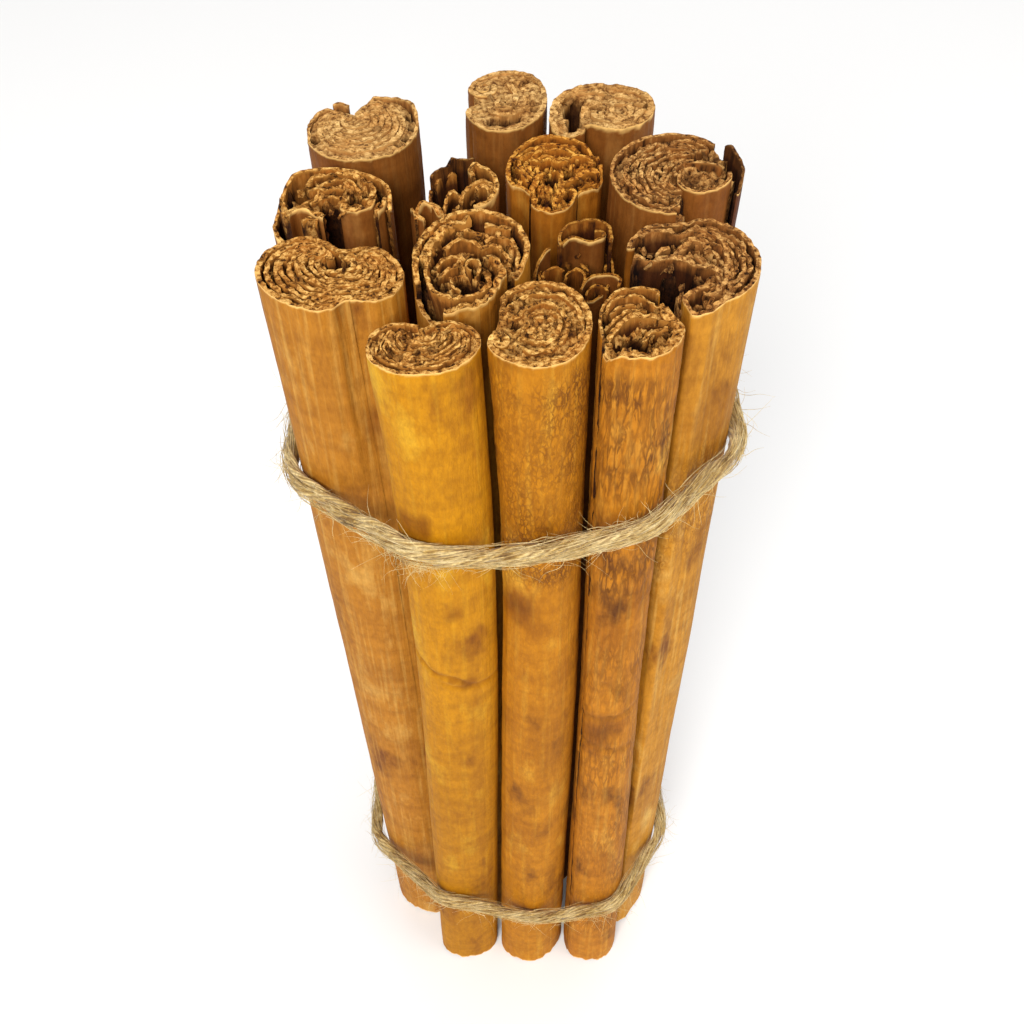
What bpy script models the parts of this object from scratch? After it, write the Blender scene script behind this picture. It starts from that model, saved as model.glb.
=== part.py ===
"""A bundle of rolled cinnamon quills standing on their cut ends, tied with two loops of jute twine.

The frame is metres with +Z up. The origin is at the middle of the bundle's foot, and the front is at -Y.
Sizes below are in millimetres and degrees.
"""
import math
import random

import bmesh
import bpy
from mathutils import Vector, geometry

MM = 0.001
QUILL_LENGTH = 150.0
QUILL_SIDES = 26
QUILL_BANDS = 7
BARK_WALL = 0.8  # the outer sheet of bark, seen as a rim at the end
RIM_UNEVEN = 0.35  # how far the cut rim dips between its high points
WAIST_REACH = 25.0  # how far along the quill a waist fades out
FOLD_FADE = 28.0  # how far below the top a fold has opened out
GROOVE_SHARE = 0.66  # where the rolled inside is deepest, as a share of the way from the centre
CORE_SHARE = 0.34  # where the inmost roll stands up again
CORE_RISE = 0.55  # how much of the depth the inmost roll regains

TWINE_DIAMETER = 2.6
TWINE_POINTS = 60
CONTACT_GAP = 0.3
KNOT_SIZE = (6.0, 4.0, 4.8)
KNOT_BEARING = 97.0  # straight back is 90
TAIL_LENGTH = 11.0

BARK_TAN = (0.60, 0.31, 0.09, 1)
BARK_OCHRE = (0.72, 0.42, 0.09, 1)
BARK_BROWN = (0.38, 0.18, 0.07, 1)
JUTE = (0.60, 0.47, 0.30, 1)

# place: the centre of the upper end. half: half width and half depth of the round. turn: how the round lies.
# folds: (bearing, depth, spread) of each dent where the bark rolls in; a minus depth is a bulge. A fourth number is
# the share of the depth left once the fold has opened out.
# foot: how far the lower end lies from the upper one, in x and y, and its size against the upper one.
# twist: of the lower end. waist: (height, share of the size lost). bow: how far the upper half bends sideways.
# hollow: how deep the rolled inside lies.
QUILLS = {
    "quill_left_front": dict(
        place=(-17.4, -10.0), half=(7.5, 5.6), turn=-16, folds=((299, 1.9, 19, 0.15), (79, 2.0, 23)),
        foot=(2.3, -0.2, 0.92), twist=6, waist=(90, 0.02), hollow=1.4, colour=BARK_TAN),
    "quill_front_left": dict(
        place=(-8.0, -20.2), half=(5.4, 3.8), turn=10, folds=((95, 1.1, 40), (150, -0.5, 25)),
        foot=(-0.7, 0.0, 0.92), twist=0, waist=(112, 0.03), bow=1.3, hollow=1.2, colour=BARK_OCHRE),
    "quill_front": dict(
        place=(2.9, -17.4), half=(5.05, 6.2), turn=-8, folds=((173, 0.7, 20), (215, -0.6, 25)),
        foot=(-0.4, -1.2, 1.0), twist=0, waist=(118, 0.12), bow=0.7, hollow=1.6, colour=BARK_TAN),
    "quill_front_right": dict(
        place=(12.5, -17.2), half=(4.1, 4.5), turn=0, folds=((30, 1.0, 25), (225, -0.6, 25)),
        foot=(0.9, -2.6, 1.1), twist=0, waist=(90, 0.09), bow=-0.25, hollow=4.0, colour=BARK_BROWN, top=-0.5),
    "quill_right_front": dict(
        place=(18.2, -8.8), half=(6.5, 6.6), turn=-25,
        folds=((216, 4.0, 22), (268, -1.5, 14), (150, -0.5, 30)),
        foot=(-0.8, -1.7, 0.92), twist=14, waist=(80, -0.03), bow=-0.3, hollow=3.0, colour=BARK_TAN),
    "quill_left": dict(
        place=(-18.1, 1.95), half=(6.3, 4.45), turn=-8, folds=((262, 1.8, 22),),
        foot=(1.8, 0.2, 0.96), twist=-8, waist=(70, 0.02), hollow=3.5, colour=BARK_BROWN),
    "quill_right": dict(
        place=(17.4, 4.9), half=(6.8, 6.9), turn=-10, folds=((308, 3.0, 22), (17, -0.4, 25)),
        foot=(-1.7, -0.9, 0.92), twist=-4, waist=(80, 0.02), hollow=2.5, colour=BARK_BROWN),
    "quill_back_left": dict(
        place=(-15.6, 13.4), half=(6.1, 5.6), turn=0,
        folds=((112, 2.4, 16), (62, -0.7, 30), (235, -0.4, 35)),
        foot=(2.4, -1.2, 0.93), twist=-10, waist=(75, 0.02), hollow=1.2, colour=BARK_BROWN),
    "quill_back": dict(
        place=(-0.2, 18.3), half=(4.7, 5.8), turn=-8, folds=((178, 2.0, 14), (50, -0.3, 30)),
        foot=(-1.0, -0.9, 0.98), twist=8, waist=(100, 0.03), hollow=1.2, colour=BARK_BROWN),
    "quill_back_right": dict(
        place=(10.6, 16.8), half=(5.8, 4.6), turn=6, folds=((262, 2.6, 15), (215, -0.8, 25)),
        foot=(-0.6, -1.2, 0.97), twist=-6, waist=(60, 0.03), hollow=4.0, colour=BARK_BROWN),
    "quill_inner_front": dict(
        place=(-3.6, -8.5), half=(5.9, 7.3), turn=-9, folds=((318, 2.0, 30), (242, -0.6, 16)),
        foot=(0.9, 0.4, 0.92), twist=0, waist=(80, 0.02), hollow=3.5, colour=BARK_TAN, lift=0.8),
    "quill_inner_left": dict(
        place=(-4.6, 4.1), half=(3.75, 4.1), turn=20, folds=((135, 0.9, 25),),
        foot=(-0.2, 0.6, 1.0), twist=10, waist=(90, 0.03), hollow=4.0, colour=BARK_BROWN, top=-0.8, lift=1.2),
    "quill_inner_right": dict(
        place=(6.8, -5.8), half=(3.9, 4.7), turn=-10, folds=((250, 0.6, 20),),
        foot=(0.5, -0.1, 0.95), twist=0, waist=(90, 0.03), hollow=6.0, colour=BARK_BROWN, top=-1.2, lift=0.5),
    "quill_inner_back": dict(
        place=(4.95, 5.6), half=(5.15, 6.15), turn=0, folds=((312, 2.2, 28), (228, 1.0, 14)),
        foot=(-0.3, 0.0, 0.9), twist=0, waist=(90, 0.03), hollow=2.5, colour=BARK_BROWN, lift=1.0),
}

# height: of the loop's middle. rise: how much higher it runs on the right side than on the left.
LOOPS = {
    "twine_upper": dict(height=122.8, rise=1.0),
    "twine_lower": dict(height=26.5, rise=0.8),
}


def clear_scene():
    for obj in list(bpy.data.objects):
        bpy.data.objects.remove(obj)


def plain_material(name, colour, roughness):
    material = bpy.data.materials.new(name)
    material.use_nodes = True
    shader = material.node_tree.nodes["Principled BSDF"]
    shader.inputs["Base Color"].default_value = colour
    shader.inputs["Roughness"].default_value = roughness
    return material


def object_from(name, mesh, material):
    obj = bpy.data.objects.new(name, mesh)
    bpy.context.collection.objects.link(obj)
    obj.data.materials.append(material)
    return obj


def turn_between(angle, middle):
    """The signed angle from middle to angle, within half a turn."""
    return (angle - middle + math.pi) % (2 * math.pi) - math.pi


def quill_radius(quill, bearing, height):
    """The radius of a quill's rolled outline at a bearing: a round with folds pressed in."""
    near_top = max(0.0, 1 - (QUILL_LENGTH - height) / FOLD_FADE)
    a, b = quill["half"]
    off = bearing - math.radians(quill["turn"])
    radius = a * b / math.hypot(b * math.cos(off), a * math.sin(off))
    for angle, depth, spread, *opened in quill["folds"]:
        kept = opened[0] if opened else 1.0
        away = turn_between(bearing, math.radians(angle)) / math.radians(spread)
        radius -= depth * (kept + (1 - kept) * near_top) * math.exp(-away * away)
    return radius


def quill_centre(quill, height):
    down = 1 - height / QUILL_LENGTH
    dx, dy, _ = quill["foot"]
    bend = quill.get("bow", 0.0) * 6.75 * down * (1 - down) ** 2
    return Vector((quill["place"][0] + dx * down + bend, quill["place"][1] + dy * down, height))


def quill_ring(quill, height, share=1.0, inset=0.0):
    """The outline at a height, drawn in towards the centre by a share and then by a wall's thickness."""
    down = 1 - height / QUILL_LENGTH
    waist_height, waist_loss = quill["waist"]
    waist = math.exp(-(((height - waist_height) / WAIST_REACH) ** 2))
    size = (1 + (quill["foot"][2] - 1) * down) * (1 - waist_loss * waist) * share
    twist = math.radians(quill["twist"]) * down
    centre = quill_centre(quill, height)
    ring = []
    for i in range(QUILL_SIDES):
        bearing = 2 * math.pi * i / QUILL_SIDES
        radius = quill_radius(quill, bearing - twist, height) * size - inset
        ring.append(centre + radius * Vector((math.cos(bearing), math.sin(bearing), 0)))
    return ring


def skin(mesh, lower, upper):
    """Faces between two rings of the same count."""
    for i in range(len(lower)):
        j = (i + 1) % len(lower)
        mesh.faces.new((lower[i], lower[j], upper[j], upper[i]))


def make_quill(name, quill, seed):
    """A quill: a lofted bark outline, flat at the foot, with a sunken roll inside its upper rim."""
    draw = random.Random(seed)
    foot = quill.get("lift", 0.0)
    top = QUILL_LENGTH + quill.get("top", 0.0)
    dips = [-RIM_UNEVEN * draw.random() for _ in range(QUILL_SIDES)]
    dips[seed % QUILL_SIDES] = 0.0
    rings = [quill_ring(quill, foot + (top - foot) * i / QUILL_BANDS) for i in range(QUILL_BANDS + 1)]
    inner_ends = (
        (quill_ring(quill, top, inset=BARK_WALL), 0.0),
        (quill_ring(quill, top, GROOVE_SHARE), quill["hollow"]),
        (quill_ring(quill, top, CORE_SHARE), quill["hollow"] * (1 - CORE_RISE)),
    )
    for ring, depth in inner_ends:
        for point in ring:
            point.z -= depth
        rings.append(ring)
    for ring in (rings[QUILL_BANDS], rings[QUILL_BANDS + 1]):
        for point, dip in zip(ring, dips):
            point.z += dip
    mesh = bmesh.new()
    rows = [[mesh.verts.new(point * MM) for point in ring] for ring in rings]
    for lower, upper in zip(rows, rows[1:]):
        skin(mesh, lower, upper)
    mesh.faces.new(reversed(rows[0]))
    middle = quill_centre(quill, top)
    middle.z -= quill["hollow"]
    tip = mesh.verts.new(middle * MM)
    last = rows[-1]
    for i in range(QUILL_SIDES):
        mesh.faces.new((last[i], last[(i + 1) % QUILL_SIDES], tip))
    data = bpy.data.meshes.new(name)
    mesh.to_mesh(data)
    mesh.free()
    data.shade_smooth()
    data.set_sharp_from_angle(angle=math.radians(40))
    return object_from(name, data, plain_material(name, quill["colour"], 0.75))


def hull_of(points):
    """The convex outline round flat points, in order."""
    return [points[i] for i in geometry.convex_hull_2d(points)]


def loop_route(loop):
    """The twine's middle line: pulled straight from quill to quill, its own radius off them."""
    reach = TWINE_DIAMETER / 2 + CONTACT_GAP
    steps = [Vector((math.cos(k * math.pi / 12), math.sin(k * math.pi / 12))) * reach for k in range(24)]
    around = []
    for quill in QUILLS.values():
        for point in quill_ring(quill, loop["height"]):
            around.extend(point.to_2d() + step for step in steps)
    corners = hull_of(around)
    corners.append(corners[0])
    lengths = [(b - a).length for a, b in zip(corners, corners[1:])]
    spacing = sum(lengths) / TWINE_POINTS
    route, run, k = [], 0.0, 0
    for i in range(TWINE_POINTS):
        while k < len(lengths) - 1 and run + lengths[k] < i * spacing:
            run += lengths[k]
            k += 1
        share = (i * spacing - run) / lengths[k]
        flat = corners[k].lerp(corners[k + 1], share)
        height = loop["height"] + loop["rise"] * flat.x / flat.length
        route.append(Vector((flat.x, flat.y, height)))
    return route


def tube(name, route, radii, cyclic):
    """A round tube along a route, as a mesh object. Its radii are in millimetres."""
    curve = bpy.data.curves.new(name, "CURVE")
    curve.dimensions = "3D"
    curve.bevel_depth = MM
    curve.bevel_resolution = 1
    curve.use_fill_caps = not cyclic
    spline = curve.splines.new("POLY")
    spline.points.add(len(route) - 1)
    for point, place, radius in zip(spline.points, route, radii):
        point.co = (*(place * MM), 1)
        point.radius = radius
    spline.use_cyclic_u = cyclic
    guide = bpy.data.objects.new(name + "_guide", curve)
    bpy.context.collection.objects.link(guide)
    bpy.context.view_layer.update()
    mesh = bpy.data.meshes.new_from_object(guide.evaluated_get(bpy.context.evaluated_depsgraph_get()))
    bpy.data.objects.remove(guide)
    bpy.data.curves.remove(curve)
    mesh.name = name
    return mesh


def knot_lump(name, place, bearing):
    """The tightened knot: a small round lump, wider than it is deep."""
    mesh = bmesh.new()
    bmesh.ops.create_icosphere(mesh, subdivisions=2, radius=0.5 * MM)
    for vert in mesh.verts:
        x, y, z = vert.co
        flat = Vector((x * KNOT_SIZE[0], y * KNOT_SIZE[1], z * KNOT_SIZE[2]))
        flat.rotate(Vector((0, 1, 0)).rotation_difference(Vector((math.cos(bearing), math.sin(bearing), 0))))
        vert.co = flat + place * MM
    data = bpy.data.meshes.new(name)
    mesh.to_mesh(data)
    mesh.free()
    return data


def cutter(name, mesh):
    helper = bpy.data.objects.new(name, mesh)
    bpy.context.collection.objects.link(helper)
    helper.hide_render = True
    helper.display_type = "WIRE"
    return helper


def make_loop(name, loop):
    """A loop of twine drawn round the bundle, with its knot and two short ends joined to it at the back."""
    route = loop_route(loop)
    radius = TWINE_DIAMETER / 2
    obj = object_from(name, tube(name, route, [radius] * len(route), True), plain_material(name, JUTE, 0.9))
    aim = math.radians(KNOT_BEARING)
    back = min(route, key=lambda point: abs(turn_between(math.atan2(point.y, point.x), aim)))
    outward = Vector((math.cos(aim), math.sin(aim), 0))
    along = Vector((-outward.y, outward.x, 0))
    knot = back + outward * radius * 0.9
    pieces = [knot_lump(name + "_knot", knot, aim)]
    for side, drop in ((1, 0.75), (-1, 1.0)):
        tail = [
            knot + along * side * TAIL_LENGTH * t * 0.8
            + Vector((0, 0, -TAIL_LENGTH * drop * t * t))
            + outward * radius * (0.5 + 0.5 * t)
            for t in (0.0, 0.25, 0.5, 0.75, 1.0)
        ]
        pieces.append(tube(f"{name}_tail_{side}", tail, [radius * 0.9] * len(tail), False))
    for mesh in pieces:
        join = obj.modifiers.new(mesh.name, "BOOLEAN")
        join.operation = "UNION"
        join.object = cutter(mesh.name, mesh)
    return obj


def centre_on_origin(objects):
    """Moves the whole bundle so that the middle of its box is over the origin."""
    graph = bpy.context.evaluated_depsgraph_get()
    corners = []
    for obj in objects:
        mesh = obj.evaluated_get(graph).to_mesh()
        corners.extend(vert.co.copy() for vert in mesh.vertices)
    middle = Vector([(min(c[i] for c in corners) + max(c[i] for c in corners)) / 2 for i in range(2)] + [0])
    for mesh in bpy.data.meshes:
        for vert in mesh.vertices:
            vert.co -= middle
    print("moved by", -middle / MM)


clear_scene()
parts = [make_quill(name, quill, seed) for seed, (name, quill) in enumerate(QUILLS.items())]
parts += [make_loop(name, loop) for name, loop in LOOPS.items()]
centre_on_origin(parts)
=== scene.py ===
import math

import bpy
import numpy as np
from mathutils import Matrix, Vector
from mathutils.bvhtree import BVHTree


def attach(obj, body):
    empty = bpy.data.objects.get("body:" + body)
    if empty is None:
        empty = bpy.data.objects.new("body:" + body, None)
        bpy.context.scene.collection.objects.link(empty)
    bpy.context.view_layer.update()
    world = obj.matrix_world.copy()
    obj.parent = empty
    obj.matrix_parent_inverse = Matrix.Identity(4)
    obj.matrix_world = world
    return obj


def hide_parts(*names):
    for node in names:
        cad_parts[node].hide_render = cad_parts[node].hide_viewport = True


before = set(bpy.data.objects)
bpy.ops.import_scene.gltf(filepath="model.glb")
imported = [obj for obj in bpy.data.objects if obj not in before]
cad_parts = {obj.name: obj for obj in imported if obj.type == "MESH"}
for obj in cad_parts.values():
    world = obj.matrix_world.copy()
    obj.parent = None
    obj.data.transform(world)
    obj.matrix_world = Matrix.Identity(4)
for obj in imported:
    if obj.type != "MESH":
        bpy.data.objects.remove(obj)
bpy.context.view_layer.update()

mm = 0.001  # one millimetre, in metres
turnAround = 2 * math.pi  # a whole turn, in radians


def deselectAll():
    bpy.ops.object.select_all(action="DESELECT")


def pick(obj):
    deselectAll()
    obj.select_set(True)
    bpy.context.view_layer.objects.active = obj


def smoothStep(x):
    x = np.clip(x, 0, 1)
    return x * x * (3 - 2 * x)


def bell(*ways):
    # 1 in the middle, and next to nothing 2 units away
    return np.exp(sum(-way ** 2 for way in ways))


def bearingOf(points):
    return np.arctan2(points[:, 1], points[:, 0])


def degreesPast(bearing, spot):
    # how far a bearing in radians is past a spot in degrees, the short way round
    return (np.degrees(bearing) - spot + 180) % 360 - 180


def lengthsAlong(points):
    return np.r_[0, np.cumsum(np.hypot(*np.diff(points, axis=0).T))]


def wave(x, y, seed):
    # soft lumps about 1 unit across, from -1 to 1
    table = np.random.default_rng(seed).uniform(-1, 1, (64, 64))
    x, y = np.broadcast_arrays(np.asarray(x, float), np.asarray(y, float))
    ix, iy = np.floor(x).astype(int), np.floor(y).astype(int)
    fx, fy = smoothStep(x - ix), smoothStep(y - iy)
    a, b = table[ix % 64, iy % 64], table[(ix + 1) % 64, iy % 64]
    c, d = table[ix % 64, (iy + 1) % 64], table[(ix + 1) % 64, (iy + 1) % 64]
    return (a * (1 - fx) + b * fx) * (1 - fy) + (c * (1 - fx) + d * fx) * fy


def crumple(x, y, seed, octaves=3):
    # lumps on lumps, mostly from -1 to 1
    total = 0
    for k in range(octaves):
        total = total + wave(x * 2 ** k + 7.3 * k, y * 2 ** k, seed + k) / 2 ** k
    return total / 1.6


def joinAll(name, parts):
    # one mesh of several
    pick(parts[0])
    for part in parts[1:]:
        part.select_set(True)
    if len(parts) > 1:
        bpy.ops.object.join()
    obj = bpy.context.object
    obj.name = name
    obj.data.name = name
    return obj


def applyModifier(obj, kind, **settings):
    pick(obj)
    modifier = obj.modifiers.new(kind.title(), kind)
    for key, value in settings.items():
        setattr(modifier, key, value)
    bpy.ops.object.modifier_apply(modifier=modifier.name)


def pointsOf(obj):
    # the places of a mesh's points, in metres
    places = np.empty(len(obj.data.vertices) * 3)
    obj.data.vertices.foreach_get("co", places)
    return places.reshape(-1, 3)


def sheetOf(name, columns, rows, placed):
    # a flat sheet, then each point goes where placed(column, row) says
    deselectAll()
    bpy.ops.mesh.primitive_grid_add(x_subdivisions=columns - 1, y_subdivisions=rows - 1, size=2)
    obj = bpy.context.object
    obj.name = name
    flat = pointsOf(obj)
    column = np.rint((flat[:, 0] + 1) / 2 * (columns - 1)).astype(int)
    row = np.rint((flat[:, 1] + 1) / 2 * (rows - 1)).astype(int)
    obj.data.vertices.foreach_set("co", (placed(column, row) * mm).ravel())
    obj.data.update()
    return obj


def note(obj, name, values):
    # a number kept on each point, for the materials
    layer = obj.data.attributes.new(name, "FLOAT", "POINT")
    layer.data.foreach_set("value", np.broadcast_to(values, len(layer.data)).astype(np.float32))


def weld(obj, threshold, openSides=None):
    # merges points nearer than a threshold in metres, closes open rims of up to so many sides (0 for
    # any number), and turns every face outwards
    pick(obj)
    bpy.ops.object.mode_set(mode="EDIT")
    bpy.ops.mesh.select_all(action="SELECT")
    bpy.ops.mesh.remove_doubles(threshold=threshold)
    if openSides is not None:
        bpy.ops.mesh.select_all(action="DESELECT")
        bpy.ops.mesh.select_mode(type="EDGE")
        bpy.ops.mesh.select_non_manifold()
        bpy.ops.mesh.fill_holes(sides=openSides)
    bpy.ops.mesh.select_all(action="SELECT")
    bpy.ops.mesh.normals_make_consistent(inside=False)
    bpy.ops.object.mode_set(mode="OBJECT")


def wear(obj, *materials):
    obj.data.materials.clear()
    for material in materials:
        obj.data.materials.append(material)


def newMaterial(name, roughness):
    material = bpy.data.materials.new(name)
    material.use_nodes = True
    shader = material.node_tree.nodes["Principled BSDF"]
    shader.inputs["Roughness"].default_value = roughness
    shader.inputs["Specular IOR Level"].default_value = 0.14
    return material, material.node_tree, shader


def mapped(tree, scale):
    coords = tree.nodes.new("ShaderNodeTexCoord")
    mapping = tree.nodes.new("ShaderNodeMapping")
    mapping.inputs["Scale"].default_value = scale
    tree.links.new(coords.outputs["Object"], mapping.inputs["Vector"])
    return mapping.outputs["Vector"]


def noiseOf(tree, vector, scale, detail=4, roughness=0.55, distortion=0):
    texture = tree.nodes.new("ShaderNodeTexNoise")
    texture.inputs["Scale"].default_value = scale
    texture.inputs["Detail"].default_value = detail
    texture.inputs["Roughness"].default_value = roughness
    texture.inputs["Distortion"].default_value = distortion
    tree.links.new(vector, texture.inputs["Vector"])
    return texture.outputs["Fac"]


def rampOf(tree, value, stops):
    ramp = tree.nodes.new("ShaderNodeValToRGB")
    elements = ramp.color_ramp.elements
    while len(elements) < len(stops):
        elements.new(0.5)
    for element, (place, colour) in zip(elements, stops):
        element.position = place
        element.color = (*colour, 1)
    tree.links.new(value, ramp.inputs["Fac"])
    return ramp.outputs["Color"]


def feed(tree, socket, value):
    # a socket takes a number, a colour or another node's output
    if isinstance(value, (int, float)):
        socket.default_value = value
    elif isinstance(value, tuple):
        socket.default_value = (*value, 1)
    else:
        tree.links.new(value, socket)


def mixed(tree, share, first, second, blend="MIX"):
    mix = tree.nodes.new("ShaderNodeMix")
    mix.data_type = "RGBA"
    mix.blend_type = blend
    # the colour sockets of a mix node are its inputs 6 and 7 and its output 2
    for place, value in ((0, share), (6, first), (7, second)):
        feed(tree, mix.inputs[place], value)
    return mix.outputs[2]


def mathOf(tree, operation, *values):
    node = tree.nodes.new("ShaderNodeMath")
    node.operation = operation
    for socket, value in zip(node.inputs, values):
        feed(tree, socket, value)
    return node.outputs[0]


def bumped(tree, shader, height, strength, distance):
    bump = tree.nodes.new("ShaderNodeBump")
    bump.inputs["Strength"].default_value = strength
    bump.inputs["Distance"].default_value = distance
    tree.links.new(height, bump.inputs["Height"])
    tree.links.new(bump.outputs["Normal"], shader.inputs["Normal"])


def attributeOf(tree, name):
    attribute = tree.nodes.new("ShaderNodeAttribute")
    attribute.attribute_name = name
    return attribute.outputs["Fac"]


def netOf(tree, vector, scale):
    # the way to the nearest line of a wandering net
    swirl = tree.nodes.new("ShaderNodeTexNoise")
    swirl.inputs["Scale"].default_value = scale * 1.1
    swirl.inputs["Detail"].default_value = 3
    tree.links.new(vector, swirl.inputs["Vector"])
    pushed = tree.nodes.new("ShaderNodeVectorMath")
    pushed.operation = "MULTIPLY_ADD"
    pushed.inputs[1].default_value = (1.3 / scale, 1.3 / scale, 1.3 / scale)
    tree.links.new(swirl.outputs["Color"], pushed.inputs[0])
    tree.links.new(vector, pushed.inputs[2])
    net = tree.nodes.new("ShaderNodeTexVoronoi")
    net.feature = "DISTANCE_TO_EDGE"
    net.inputs["Scale"].default_value = scale
    tree.links.new(pushed.outputs["Vector"], net.inputs["Vector"])
    return net.outputs["Distance"]


barkTones = {
    "tan": dict(base=(0.43, 0.170, 0.014), light=(0.64, 0.36, 0.080), dark=(0.18, 0.055, 0.005),
                streak=0.5, cracks=1500),
    "straw": dict(base=(0.53, 0.232, 0.019), light=(0.70, 0.42, 0.10), dark=(0.20, 0.065, 0.006),
                  streak=0.5, cracks=1500),
    "amber": dict(base=(0.465, 0.176, 0.004), light=(0.64, 0.33, 0.030), dark=(0.15, 0.045, 0.002),
                  streak=0.35, cracks=1900),
    "ochre": dict(base=(0.50, 0.210, 0.002), light=(0.66, 0.37, 0.022), dark=(0.25, 0.082, 0.002),
                  streak=0.25, cracks=1700),
    "leather": dict(base=(0.475, 0.176, 0.009), light=(0.66, 0.34, 0.050), dark=(0.095, 0.028, 0.003),
                    streak=0.4, cracks=1500, stretch=0.17),
    "orange": dict(base=(0.36, 0.12, 0.008), light=(0.55, 0.27, 0.04), dark=(0.12, 0.036, 0.004),
                   streak=0.3, cracks=1500),
    "brown": dict(base=(0.225, 0.075, 0.011), light=(0.37, 0.17, 0.042), dark=(0.075, 0.023, 0.004),
                  streak=0.35, cracks=1500),
}
cutTones = {
    "warm": dict(base=(0.42, 0.178, 0.030), light=(0.92, 0.56, 0.175), dark=(0.040, 0.012, 0.002)),
    "pale": dict(base=(0.50, 0.265, 0.078), light=(0.86, 0.55, 0.215), dark=(0.15, 0.060, 0.016)),
    "red": dict(base=(0.40, 0.145, 0.014), light=(0.90, 0.48, 0.090), dark=(0.045, 0.011, 0.002)),
    "dusk": dict(base=(0.31, 0.130, 0.030), light=(0.80, 0.47, 0.160), dark=(0.030, 0.010, 0.002)),
}


def outerBarkMaterial(name, tone):
    # the scraped outside of the bark: warm blotches, long pale fibres, and painted shade in its wrinkles
    material, tree, shader = newMaterial(name, 0.68)
    fibres = mapped(tree, (1.0, 1.0, 0.035))
    blotches = mapped(tree, (1.0, 1.0, 0.45))
    blotch = noiseOf(tree, blotches, 160, 5, 0.6)
    colour = rampOf(tree, blotch, ((0.28, tone["dark"]), (0.44, tone["base"]), (0.58, tone["base"]),
                                   (0.74, tone["light"])))
    fibre = noiseOf(tree, fibres, 1500, 3, 0.5)
    pale = rampOf(tree, fibre, ((0.52, (0, 0, 0)), (0.72, (1, 1, 1))))
    colour = mixed(tree, mathOf(tree, "MULTIPLY", pale, tone["streak"]), colour, tone["light"])
    grain = noiseOf(tree, blotches, 1400, 4, 0.7)
    shade = rampOf(tree, grain, ((0.3, (0.72, 0.66, 0.6)), (0.6, (1.04, 1.03, 1.0))))
    colour = mixed(tree, 0.8, colour, shade, "MULTIPLY")
    # painted shade in the wrinkles, creases, dents and rings, as deep as they are
    colour = mixed(tree, attributeOf(tree, "wrinkle"), colour, tone["dark"])
    hoops = noiseOf(tree, mapped(tree, (0.2, 0.2, 1.0)), 420, 3, 0.6, 0.3)
    hoop = rampOf(tree, hoops, ((0.38, (0.80, 0.76, 0.70)), (0.56, (1.02, 1.02, 1.02))))
    colour = mixed(tree, 0.55, colour, hoop, "MULTIPLY")
    crackPlace = mapped(tree, (1.0, 1.0, tone.get("stretch", 0.4)))
    net = rampOf(tree, netOf(tree, crackPlace, tone["cracks"]), ((0.02, (1, 1, 1)), (0.2, (0, 0, 0))))
    patches = noiseOf(tree, crackPlace, tone["cracks"] * 0.45, 3, 0.65)
    patches = rampOf(tree, patches, ((0.34, (0.3, 0.3, 0.3)), (0.55, (1, 1, 1))))
    net = mixed(tree, 1.0, net, patches, "MULTIPLY")
    dashes = noiseOf(tree, crackPlace, tone["cracks"] * 1.3, 3, 0.6, 0.8)
    dashes = rampOf(tree, dashes, ((0.37, (0.9, 0.9, 0.9)), (0.46, (0, 0, 0))))
    crackLine = mixed(tree, 1.0, net, dashes, "LIGHTEN")
    cracked = mixed(tree, 1.0, crackLine, attributeOf(tree, "rough"), "MULTIPLY")
    colour = mixed(tree, cracked, colour, tone["dark"])
    # darker and redder where stained, and where painted shade is put through the same attribute
    stainAndShade = rampOf(tree, attributeOf(tree, "stainAndShade"), ((0.0, (1, 1, 1)), (1.0, (0.42, 0.29, 0.17))))
    colour = mixed(tree, 1.0, colour, stainAndShade, "MULTIPLY")
    colour = mixed(tree, attributeOf(tree, "cutEdge"), colour, cutTones["warm"]["light"])
    tree.links.new(colour, shader.inputs["Base Color"])
    relief = noiseOf(tree, fibres, 2200, 4, 0.65)
    pitting = noiseOf(tree, blotches, 1100, 4, 0.65)
    both = mixed(tree, 0.45, relief, pitting)
    both = mixed(tree, cracked, both, (0.1, 0.1, 0.1))
    bumped(tree, shader, both, 0.6, 0.0003)
    return material


def withPaintedShade(tree, colour):
    # painted shade in the pockets between the layers, away from the cut end
    shade = rampOf(tree, attributeOf(tree, "deep"), ((0.0, (1, 1, 1)), (1.0, (0.17, 0.115, 0.08))))
    return mixed(tree, 1.0, colour, shade, "MULTIPLY")


def innerBarkMaterial(name, tone):
    # the inside of the bark: red-brown, paler along its fibres
    material, tree, shader = newMaterial(name, 0.85)
    fibres = mapped(tree, (1.0, 1.0, 0.12))
    fibre = noiseOf(tree, fibres, 1000, 5, 0.65)
    colour = rampOf(tree, fibre, ((0.32, tone["dark"]), (0.56, tone["base"]), (0.8, tone["light"])))
    colour = mixed(tree, 1.0, colour, (0.86, 0.72, 0.58), "MULTIPLY")
    colour = mixed(tree, attributeOf(tree, "cutEdge"), colour, tone["base"])
    colour = withPaintedShade(tree, colour)
    tree.links.new(colour, shader.inputs["Base Color"])
    bumped(tree, shader, fibre, 0.5, 0.0003)
    return material


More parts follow.
